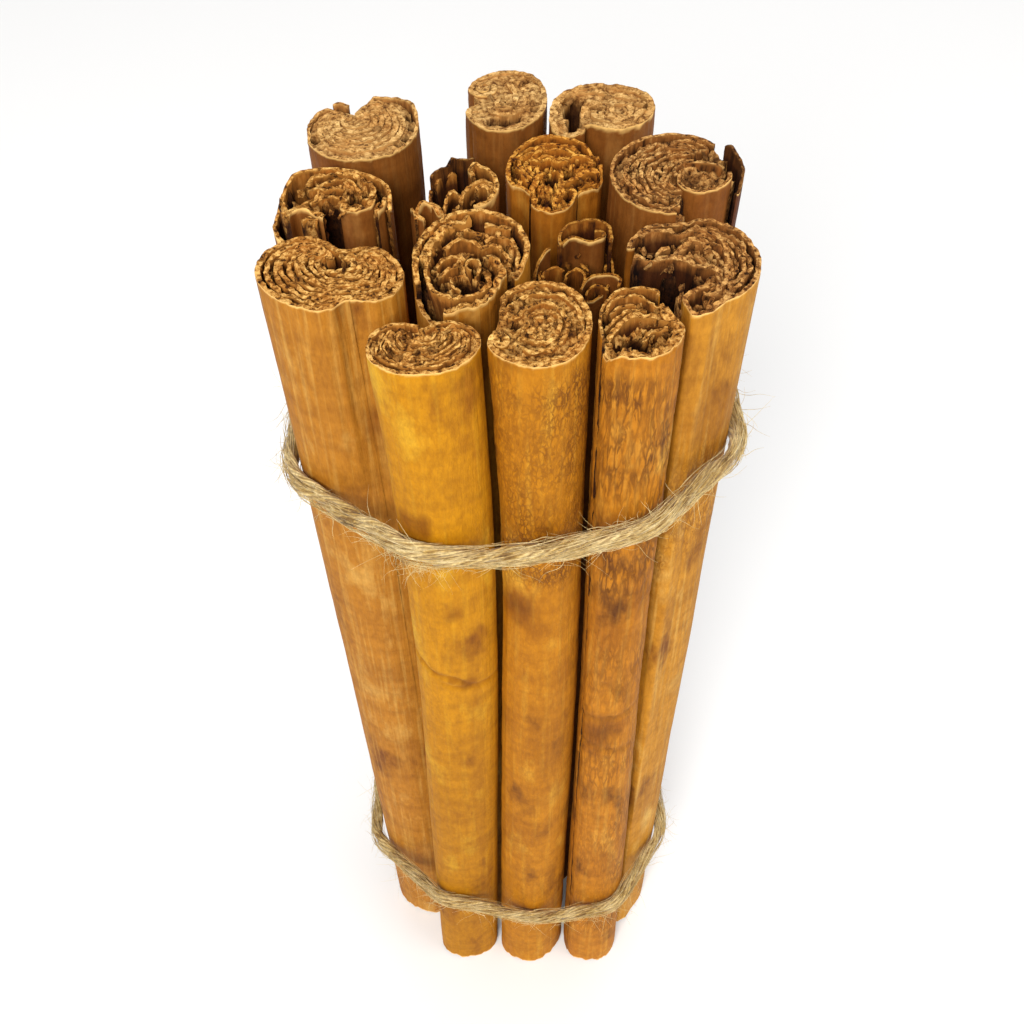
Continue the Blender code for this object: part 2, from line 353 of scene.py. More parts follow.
def cutBarkMaterial(name, tone):
    # cut ends and crushed layers: pale on the crumbs, with painted shade in the pores between them
    material, tree, shader = newMaterial(name, 0.88)
    place = mapped(tree, (1.0, 1.0, 0.7))
    crumbs = noiseOf(tree, place, 1700, 5, 0.72)
    patch = noiseOf(tree, place, 300, 3, 0.5)
    # the dark end of these ramps is painted shade in the pores between the crumbs
    high = rampOf(tree, crumbs, ((0.38, tone["dark"]), (0.48, tone["base"]), (0.62, tone["light"])))
    low = rampOf(tree, crumbs, ((0.38, tone["dark"]), (0.7, tone["base"])))
    colour = mixed(tree, attributeOf(tree, "cutEdge"), low, high)
    warm = rampOf(tree, patch, ((0.35, (0.80, 0.64, 0.46)), (0.62, (1.04, 1.04, 1.02))))
    colour = mixed(tree, 0.8, colour, warm, "MULTIPLY")
    colour = withPaintedShade(tree, colour)
    tree.links.new(colour, shader.inputs["Base Color"])
    bumped(tree, shader, crumbs, 0.8, 0.0004)
    return material


barkOutside = {key: outerBarkMaterial("bark" + key.title(), tone) for key, tone in barkTones.items()}
barkInside = {key: innerBarkMaterial("inside" + key.title(), tone) for key, tone in cutTones.items()}
barkCut = {key: cutBarkMaterial("cut" + key.title(), tone) for key, tone in cutTones.items()}
print("materials ready")


# how finely a quill's outline is read from the frame
sectionLevels = 15
sectionBearings = 180
rayStart = 14  # millimetres from the centre line, outside every quill
underTop = 1.2  # the highest level lies this far under the top, below its crumbled rim
overFoot = 0.05


def readQuill(node):
    # the centre line and the outline, in millimetres: rows[level, bearing]
    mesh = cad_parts[node].data
    points = np.array([v.co[:] for v in mesh.vertices]) / mm
    faces = [tuple(p.vertices) for p in mesh.polygons]
    tree = BVHTree.FromPolygons([Vector(p) for p in points], faces)
    unique, index = np.unique(np.round(points, 3), axis=0, return_inverse=True)
    uses = np.bincount(index.ravel()[np.array([i for f in faces for i in f])], minlength=len(unique))
    low, high = unique[:, 2].min(), unique[:, 2].max()
    upper = unique[:, 2] > (low + high) / 2
    tip = unique[upper][np.argmax(uses[upper])]  # the point that the most faces share is the top's middle
    footRing = unique[unique[:, 2] < low + overFoot]
    bearings = np.arange(sectionBearings) * turnAround / sectionBearings

    def sectionAt(height, centre):
        row = []
        for angle in bearings:
            out = Vector((math.cos(angle), math.sin(angle), 0))
            start = Vector((centre[0], centre[1], height)) + out * rayStart
            hit = tree.ray_cast(start, -out)[0]
            row.append(rayStart - (start - hit).length if hit else np.nan)
        row = np.array(row)
        known = ~np.isnan(row)
        return np.interp(bearings, bearings[known], row[known], period=turnAround)

    def middleOf(row):
        return np.array([(row * np.cos(bearings)).mean(), (row * np.sin(bearings)).mean()])

    topRow = sectionAt(high - underTop, tip[:2])
    lean = middleOf(topRow)
    footMiddle = footRing[:, :2].mean(0)
    foot = footMiddle - lean * sectionAt(low + 0.3, footMiddle).mean() / topRow.mean()
    levels = np.linspace(low + overFoot, high - underTop, sectionLevels)
    rows = []
    for height in levels:
        share = (height - low) / (high - low)
        rows.append(sectionAt(height, foot * (1 - share) + tip[:2] * share))
    rows = np.array(rows)
    rows[1:-1] = rows[1:-1] / 2 + (rows[2:] + rows[:-2]) / 4
    # how far the foot is twisted against the top
    shifts = np.arange(-10, 11)
    fit = [np.dot(np.roll(rows[-1], s) - rows[-1].mean(), rows[0] - rows[0].mean()) for s in shifts]
    twist = shifts[int(np.argmax(fit))] * turnAround / sectionBearings
    return dict(low=low, high=high, top=tip[:2], foot=foot, levels=levels, rows=rows, twist=twist)


def reachAt(quill, bearing, height):
    # how far the outline is from the centre line
    level = (height - quill["levels"][0]) / (quill["levels"][-1] - quill["levels"][0])
    level = np.clip(level, 0, 1) * (sectionLevels - 1)
    k = np.minimum(level.astype(int), sectionLevels - 2)
    step = np.mod(bearing, turnAround) / turnAround * sectionBearings
    j = step.astype(int) % sectionBearings
    share = step - np.floor(step)
    near = (j + 1) % sectionBearings
    rows = quill["rows"]
    lower = rows[k, j] * (1 - share) + rows[k, near] * share
    upper = rows[k + 1, j] * (1 - share) + rows[k + 1, near] * share
    return lower + (upper - lower) * (level - k)


def topReach(quill, bearing):
    return reachAt(quill, bearing, np.full(np.shape(bearing), quill["high"]))


def spotAt(quill, bearing, share, z):
    # a place inside the quill: a bearing and a share of the outline's reach, at any height
    down = (quill["high"] - z) / (quill["high"] - quill["low"])
    turned = bearing + quill["twist"] * down
    reach = reachAt(quill, turned, z) * share
    centre = quill["foot"] * down[..., None] + quill["top"] * (1 - down)[..., None]
    return centre + np.stack([reach * np.cos(turned), reach * np.sin(turned)], -1)


# the rolled sheets' routes run across the top of a quill, in its own millimetres
stepAlong = 0.26


def evenly(points, step=stepAlong):
    lengths = lengthsAlong(points)
    along = np.linspace(0, lengths[-1], max(int(lengths[-1] / step) + 1, 6))
    return np.stack([np.interp(along, lengths, points[:, 0]), np.interp(along, lengths, points[:, 1])], 1)


def smoothThrough(points):
    points = np.array(points, float)
    padded = np.vstack([2 * points[0] - points[1], points, 2 * points[-1] - points[-2]])
    found = []
    for a, b, c, d in zip(padded, padded[1:], padded[2:], padded[3:]):
        for t in np.linspace(0, 1, 8, endpoint=False):
            found.append((2 * b + (c - a) * t + (2 * a - 5 * b + 4 * c - d) * t * t
                          + (3 * b - a - 3 * c + d) * t ** 3) / 2)
    return np.array(found + [points[-1]])


def curlFrom(point, heading, side, curl):
    # a roll that tightens from one radius to another over some degrees, turning left for side 1
    radius, last, degrees = curl
    points, turned = [], 0.0
    goal = math.radians(degrees)
    while turned < goal:
        now = max(radius + (last - radius) * turned / goal, 0.25)
        heading += side * 0.18 / now
        turned += 0.18 / now
        point = point + 0.18 * np.array([math.cos(heading), math.sin(heading)])
        points.append(point)
    return points


def alongOutline(quill, arc, inset=0.0, tuck=(0, 0), tuckOver=26):
    # along the outline from one bearing round to another; the inset can grow towards either end
    start, end = arc
    degrees = np.linspace(start, end, max(int(abs(end - start) / 2), 6))
    bearing = np.radians(degrees)
    deep = inset + tuck[0] * smoothStep(1 - np.abs(degrees - start) / tuckOver)
    deep = deep + tuck[1] * smoothStep(1 - np.abs(degrees - end) / tuckOver)
    reach = topReach(quill, bearing)
    points = np.stack([reach * np.cos(bearing), reach * np.sin(bearing)], 1)
    along = np.gradient(points, axis=0)
    along /= np.hypot(*along.T)[:, None]
    inward = np.stack([-along[:, 1], along[:, 0]], 1) * np.sign(end - start)
    return points + inward * deep[:, None]


def withCurls(points, startCurl, endCurl):
    points = list(points)
    if endCurl:
        along = points[-1] - points[-3]
        points += curlFrom(points[-1], math.atan2(along[1], along[0]), 1, endCurl)
    if startCurl:
        along = points[0] - points[2]
        points = curlFrom(points[0], math.atan2(along[1], along[0]), -1, startCurl)[::-1] + points
    return np.array(points)


def routeOf(quill, sheet):
    if "arc" in sheet:
        middle = alongOutline(quill, sheet["arc"], sheet.get("inset", 0.0), sheet.get("tuck", (0, 0)))
        middle = withCurls(middle, sheet.get("startCurl"), sheet.get("endCurl"))
        before, after = sheet.get("before"), sheet.get("after")
        if before:
            middle = np.vstack([smoothThrough(before + [tuple(middle[0])])[:-1], middle])
        if after:
            middle = np.vstack([middle, smoothThrough([tuple(middle[-1])] + after)[1:]])
        return evenly(middle)
    return evenly(smoothThrough(sheet["points"]))


def nestRoutes(quill, nest):
    # sheets nested round an eye, each the outline drawn in towards it
    eye = np.array(nest["eye"])
    chance = np.random.default_rng(nest["seed"])
    routes = []
    for share in np.linspace(*nest["shares"], nest["count"]):
        start = nest["arc"][0] + chance.uniform(-9, 9)
        end = nest["arc"][1] + chance.uniform(-9, 9)
        outline = alongOutline(quill, (start, end), 0.5)
        points = eye + (outline - eye) * share
        curls = [(c[0] * share + 0.3, c[1], c[2] * chance.uniform(0.7, 1.15)) if c else None
                 for c in nest.get("curls", (None, None))]
        routes.append(evenly(withCurls(points, *curls)))
    return routes


def cutShort(heights, reach):
    # only the part of a sheet within reach of the top
    return heights[heights > heights[-1] - reach] if reach else heights


def rowHeights(length, topRows, middleStep, footRows, topReachDown=5.0, footReachUp=3.0, fine=None):
    # rows lie close together at the cut ends, and over a finely wrinkled stretch
    foot = np.linspace(0, footReachUp, footRows, endpoint=False)
    top = length - topReachDown * np.linspace(1, 0, topRows) ** 1.3
    middle, height = [], footReachUp
    while height < length - topReachDown - middleStep / 2:
        middle.append(height)
        inFine = fine and fine[0] < height < fine[1]
        height += fine[2] if inFine else middleStep
    return np.r_[foot, middle, top]


def rollSheet(name, quill, route, heights, look, seed, relief, limit):
    # rolls a flat sheet of bark along a route, as far down the quill as its heights go; only the
    # outside sheets have a relief, and the limit is how far out a sheet may lie, 1 on the outline
    columns, length = len(route), heights[-1]
    along = lengthsAlong(route)
    bearing = bearingOf(route)
    share = np.minimum(np.hypot(*route.T) / topReach(quill, bearing), limit)
    sideways = np.gradient(route, axis=0)
    sideways = np.stack([-sideways[:, 1], sideways[:, 0]], 1)
    sideways /= np.hypot(*sideways.T)[:, None] + 1e-9
    ragged, crumbs = look.get("ragged", 0.4), look.get("crumbs", 0.07 if relief else 0.18)
    torn = 0.6 * crumple(along / 2.8, seed * 0.7, seed + 11, 2) + 0.35 * wave(along / 0.9, 3.1, seed + 12)
    torn = ragged * torn
    torn = torn + crumbs * (1.3 * np.maximum(crumple(along / 0.75, 5.5, seed + 14, 2), -0.25) + 0.2)
    torn = torn + look.get("drop", 0.0)
    for spot, depth, spread in look.get("dips", ()):
        torn = torn + depth * bell(degreesPast(bearing, spot) / spread)
    torn = np.maximum(torn, -look.get("proud", 0.15))
    tornFoot = 0.55 * crumple(along / 2.6, 9.2, seed + 13) + 0.5 * wave(along / 0.9, 4.1, seed + 15)
    tornFoot = np.maximum(tornFoot + 0.35, 0)
    tornFoot = np.maximum(tornFoot + 0.3 * look.get("drop", 0.0), 0)
    wavy = look.get("wavy", 0.12)

    def placed(column, row):
        height = heights[row]
        nearTop = smoothStep(1 - (length - height) / (4.0 + 0.8 * np.abs(torn[column])))
        nearFoot = smoothStep(1 - height / 4.0)
        z = quill["low"] + height - torn[column] * nearTop + tornFoot[column] * nearFoot
        inward = relief(bearing[column], along[column], z) if relief else 0
        ends = np.maximum(nearTop, nearFoot)
        spot = spotAt(quill, bearing[column], share[column] * (1 if relief else 0.93 + 0.07 * ends), z)
        sway = wavy * crumple(along[column] / 1.3, z / 3.5, seed + 21) * (0.3 + 0.7 * ends)
        jag = smoothStep(1 - np.minimum(length - height, height) / 1.6)
        sway = sway + crumbs * 0.7 * jag * wave(along[column] / 0.6, z / 0.4, seed + 23)
        sway = np.abs(sway) * 0.7 if limit > 0.985 else sway
        spot = spot + sideways[column] * (sway + inward)[:, None]
        return np.concatenate([spot, z[:, None]], 1)

    obj = sheetOf(name, columns, len(heights), placed)
    z = pointsOf(obj)[:, 2] / mm
    row, column = np.arange(len(z)) // columns, np.arange(len(z)) % columns
    fromTop, fromFoot = length - heights[row], heights[row]
    speckle = crumple(along[column] / 0.7, z / 0.9, seed + 31)
    reach = look.get("pale", 0.22) * (1 + 0.9 * speckle)
    pale = np.clip(1.15 - np.minimum(fromTop, fromFoot) / np.maximum(reach, 0.05), 0, 1)
    note(obj, "cutEdge", pale)
    note(obj, "nearCut", smoothStep(1 - np.minimum(fromTop, fromFoot) / 1.5) * (0.5 if relief else 1))
    # painted shade: darker the further a point lies from the cut ends, times the sheet's shade, and never
    # under its painted shade floor
    paintedShade = smoothStep((np.minimum(fromTop, fromFoot) - 0.2) / 1.4) * look.get("shade", 1.0)
    note(obj, "deep", np.maximum(paintedShade, look.get("paintedShadeFloor", 0)))
    return obj, bearing[column], along[column], z


def weighGroup(group, weight):
    # in ten steps, because a group takes one weight at a time
    for level in range(1, 11):
        members = np.flatnonzero(np.rint(weight * 10) == level)
        group.add(members.tolist(), level / 10, "REPLACE")


def crumbleEdges(obj, strength):
    # the cut ends break up into crumbs
    cut = np.empty(len(obj.data.vertices))
    obj.data.attributes["nearCut"].data.foreach_get("value", cut)
    weighGroup(obj.vertex_groups.new(name="cut"), cut)
    texture = bpy.data.textures.new("crumbs", "CLOUDS")
    texture.noise_scale = 0.0005
    texture.noise_depth = 2
    texture.cloud_type = "COLOR"
    applyModifier(obj, "DISPLACE", texture=texture, texture_coords="LOCAL", direction="RGB_TO_XYZ",
                  mid_level=0.5, strength=strength * mm, vertex_group="cut")
    obj.vertex_groups.clear()
    bpy.data.textures.remove(texture)


def giveThickness(obj, wall, thinnest, materials, seed):
    # the sheet gets a crumbly inner face, thick here and thin there
    group = obj.vertex_groups.new(name="wall")
    x, y, z = pointsOf(obj).T / mm
    lumps = crumple((x + y) / 0.55, (y - x + z) / 0.6, seed)
    weighGroup(group, np.clip(0.58 + 0.6 * lumps, 0.1, 1))
    wear(obj, *materials)
    applyModifier(obj, "SOLIDIFY", thickness=wall * mm, offset=-1, vertex_group="wall",
                  thickness_vertex_group=thinnest, material_offset=1, material_offset_rim=2)
    obj.vertex_groups.clear()
    crumbleEdges(obj, 0.24)


def makeCore(name, quill, look, cut, seed):
    # the crushed middle of the roll: crumbly on top, with pits where the roll is open
    columns, rings, sides, footRings = 150, 46, 7, 14
    share = np.r_[np.linspace(0.02, 0.93, rings), np.full(sides, 0.86), np.linspace(0.93, 0.02, footRings)]
    rows = len(share)
    isTop = np.arange(rows) < rings
    isFoot = np.arange(rows) >= rings + sides
    down = np.r_[np.zeros(rings), np.linspace(0, 1, sides + 2)[1:-1], np.ones(footRings)]
    length = quill["high"] - quill["low"]
    bearings = np.linspace(0, turnAround, columns)
    share = np.repeat(share[None, :], columns, 0)
    for spot, depth, spread in look.get("cuts", ()):
        share = share * (1 - depth * bell(degreesPast(bearings, spot) / spread))[:, None]
    top = spotAt(quill, bearings[:, None], share, np.full((columns, rows), quill["high"]))
    x, y = np.moveaxis(top - quill["top"], -1, 0)
    lumps, grain = look.get("lumps", 0.35), look.get("grain", 0.8)
    depth = look["depth"] * (1 + 0.3 * crumple(x / 1.8, y / 1.8, seed))
    rubble = crumple(x / grain, y / grain, seed + 5) + 0.6 * wave(x / 0.34, y / 0.34, seed + 6)
    depth = depth + lumps * rubble
    layers, ridge = look.get("layers", 0), look.get("ridge", 0)
    turns = share * layers + bearings[:, None] / turnAround + 0.45 * crumple(x / 2.2, y / 2.2, seed + 7)
    depth = depth + ridge * np.cos(turns * turnAround)
    crumb = depth.copy()
    for px, py, radius, pit in look.get("pits", ()):
        away = np.hypot(x - px, y - py) / radius + 0.3 * wave(x / 0.5, y / 0.5, seed + 8)
        depth = depth + pit * smoothStep(1.6 - away)
    depth = np.maximum(depth, 0.12)
    pale = np.clip(0.62 - (crumb - look["depth"]) * 1.1, 0, 1) * (depth - crumb < 0.5)

    def placed(column, row):
        z = quill["high"] - down[row] * length
        z = z - np.where(isTop[row], depth[column, row], 0)
        z = z + np.where(isFoot[row], np.minimum(depth[column, row], 4) * 0.8, 0)
        z = np.where(isTop[row] | isFoot[row], z, np.clip(z, quill["low"] + 6, quill["high"] - 6))
        spot = spotAt(quill, bearings[column], share[column, row], z)
        return np.concatenate([spot, z[:, None]], 1)

    obj = sheetOf(name, columns, rows, placed)
    count = len(obj.data.vertices)
    note(obj, "cutEdge", np.where(isTop | isFoot, pale, 0).T.ravel()[:count])
    note(obj, "nearCut", 0.0)
    # painted shade: the deeper a crumb lies the darker it is, and the sides of the core are fully dark
    paintedShade = np.where(isTop | isFoot, smoothStep((depth - look["depth"] * 0.7) / 1.3), 1)
    note(obj, "deep", paintedShade.T.ravel()[:count])
    weld(obj, 0.00001)
    wear(obj, barkCut[cut])
    return obj


def makeFlakes(name, quill, look, cut, seed):
    # torn chips of bark caught in the end of the roll
    chance = np.random.default_rng(seed)
    chips = []
    for k in range(look.get("chips", 18)):
        bearing = chance.uniform(0, turnAround)
        share = math.sqrt(chance.uniform(0.01, 0.62))
        width, height = chance.uniform(0.3, 0.85), chance.uniform(0.4, 1.0)
        z = quill["high"] - look["depth"] * chance.uniform(0.2, 0.9)
        turn, lean, bend = chance.uniform(0, turnAround), chance.uniform(0.1, 1.1), chance.uniform(0.2, 0.9)
        foot = spotAt(quill, np.array(bearing), np.array(share), np.array(z))
        side = np.array([math.cos(turn), math.sin(turn), 0])
        up = np.array([-side[1] * math.sin(lean), side[0] * math.sin(lean), math.cos(lean)])
        out = np.cross(side, up)

        def placed(column, row):
            across, rise = column / 4 - 0.5, row / 3 - 0.5
            jag = 0.36 * crumple(column * 0.7 + k * 3.7, row * 0.9, seed + k, 2)
            point = side * (across * width)[:, None]
            point = point + up * ((rise + jag) * height * (1 - 0.5 * across))[:, None]
            point = point + out * (bend * width * (0.25 - across ** 2) + 0.5 * jag)[:, None]
            return point + np.array([foot[0], foot[1], z])

        chip = sheetOf("chip", 5, 4, placed)
        note(chip, "cutEdge", chance.uniform(0, 0.8))
        note(chip, "nearCut", 0.0)
        # a little painted shade on each chip, at random
        note(chip, "deep", chance.uniform(0, 0.4))
        chips.append(chip)
    obj = joinAll(name, chips)
    wear(obj, barkCut[cut])
    applyModifier(obj, "SOLIDIFY", thickness=0.22 * mm, offset=0)
    return obj


def ridged(x, y, seed, octaves=3):
    # sharp crests between round hollows, from 0 to 1
    total = 0
    for k in range(octaves):
        total = total + (1 - np.abs(wave(x * 2 ** k, y * 2 ** k, seed + k)) * 2) / 1.7 ** k
    return np.clip(total / 1.6, 0, 1)


def zoneOf(z, zone):
    # 1 between two heights, fading out inside both
    low, high, fade = zone
    return smoothStep((z - low) / fade) * smoothStep((high - z) / fade)


def surfaceOf(body, seed):
    # three functions of bearing, the way along the sheet, and height: how far in the surface lies,
    # how deep it is wrinkled, which also sets the painted shade in the wrinkles, and how dark it is stained
    # and shaded
    def wrinkled(bearing, along, z):
        total = 0
        for wrinkle in body.get("wrinkles", ()):
            size, stretch, depth, zone = wrinkle
            slant = along + 0.12 * z
            folds = ridged(slant / size, z / (size * stretch), seed + 41) ** 2
            total = total + depth * folds * zoneOf(z, zone)
        for spot, width, depth, zone in body.get("creases", ()):
            sway = 1.2 * wave(z / 22, spot, seed + 47)
            away = degreesPast(bearing, spot) * 0.1 - sway * 0.3
            total = total + depth * bell(away / width) * zoneOf(z, zone)
        for spot, height, wide, tall, depth in body.get("dents", ()):
            total = total + depth * bell(degreesPast(bearing, spot) / wide, (z - height) / tall)
        for height, slope, thick, depth, spot, wide in body.get("rings", ()):
            away = degreesPast(bearing, spot)
            line = height + slope * away / 90 + 0.7 * wave(along / 2.5, height, seed + 53)
            inReach = smoothStep(1.5 - np.abs(away) / wide)
            total = total + depth * bell((z - line) / thick) * inReach
        return total

    def relief(bearing, along, z):
        ribs = 0.05 * (1 + crumple(along / 0.7, z / 28, seed + 43))
        lumps = 0.10 * (1 + crumple(along / 5.0, z / 15, seed + 44))
        depth = np.clip(ribs + lumps + wrinkled(bearing, along, z), 0, 0.44) - 0.16
        for spot, height, wide, tall, amount in body.get("swells", ()):
            depth = depth - amount * bell(degreesPast(bearing, spot) / wide, (z - height) / tall)
        return depth

    # darkening from the body's marks: most are the bark's own stains, some are painted shade
    def stainedAndShaded(bearing, along, z):
        total = 0.0 * z
        for spot, height, wide, tall, strength in body.get("stainsAndShades", ()):
            away = np.hypot(degreesPast(bearing, spot) / wide, (z - height) / tall)
            edge = 0.35 * crumple(along / 1.3, z / 3.0, seed + 51)
            total = np.maximum(total, strength * smoothStep(1.5 - away + edge))
        return np.clip(total, 0, 1)

    return relief, wrinkled, stainedAndShaded


def makeOuter(name, quill, look, tone, seed):
    # the bark seen from outside, one thick sheet or more
    sheets = []
    body = look.get("body", {})
    relief, wrinkled, stainedAndShaded = surfaceOf(body, seed)
    for k, sheet in enumerate(look["outer"]):
        heights = rowHeights(quill["high"] - quill["low"], topRows=18, middleStep=1.9, footRows=6,
                             fine=body.get("fine"))
        route = routeOf(quill, sheet)
        levels = cutShort(heights, sheet.get("reach"))
        obj, bearing, along, z = rollSheet("bark", quill, route, levels, sheet, seed + 60 * k, relief,
                                           sheet.get("limit", 0.995))
        # painted shade in the wrinkles, creases, dents and rings
        note(obj, "wrinkle", np.clip(wrinkled(bearing, along, z) / 0.3, 0, 1) * 0.5)
        rough = sum(amount * zoneOf(z, zone) for amount, zone in body.get("rough", ())) + 0 * z
        note(obj, "rough", np.clip(rough, 0, 1) * (0.55 + 0.6 * crumple(along / 4, z / 9, seed + 57)))
        # the bark's own stains, with painted shade where a mark or a whole sheet stands in shade
        note(obj, "stainAndShade", np.maximum(stainedAndShaded(bearing, along, z), sheet.get("stainAndShade", 0)))
        materials = (barkOutside[tone], barkInside[look["cut"]], barkCut[look["cut"]])
        giveThickness(obj, sheet.get("wall", 0.6), 0.45, materials, seed + k)
        sheets.append(obj)
    return joinAll(name, sheets)


def makeInner(name, quill, look, seed):
    # what shows inside the cut ends: the rolled sheets, the nests of them, the core and its chips
    sheets = []
    heights = rowHeights(quill["high"] - quill["low"], topRows=13, middleStep=30.0, footRows=5,
                         topReachDown=6.0)
    routes = [(sheet, routeOf(quill, sheet)) for sheet in look.get("inner", ())]
    for nest in look.get("nests", ()):
        found = nestRoutes(quill, nest)
        for k, route in enumerate(found):
            drops = nest.get("drops", (0.1, 0.5))
            drop = drops[0] + (drops[1] - drops[0]) * k / max(len(found) - 1, 1)
            routes.append((dict(nest, drop=drop), route))
    materials = (barkInside[look["cut"]], barkInside[look["cut"]], barkCut[look["cut"]])
    for k, (sheet, route) in enumerate(routes):
        levels = cutShort(heights, sheet.get("reach"))
        limit = sheet.get("limit", 0.95)
        obj = rollSheet("roll", quill, route, levels, sheet, seed + 37 * k, None, limit)[0]
        giveThickness(obj, sheet.get("wall", 0.5), 0.4, materials, seed + k)
        sheets.append(obj)
    sheets.append(makeCore("core", quill, look["core"], look["cut"], seed + 5))
    sheets.append(makeFlakes("chips", quill, look["core"], look["cut"], seed + 9))
    return joinAll(name, sheets)
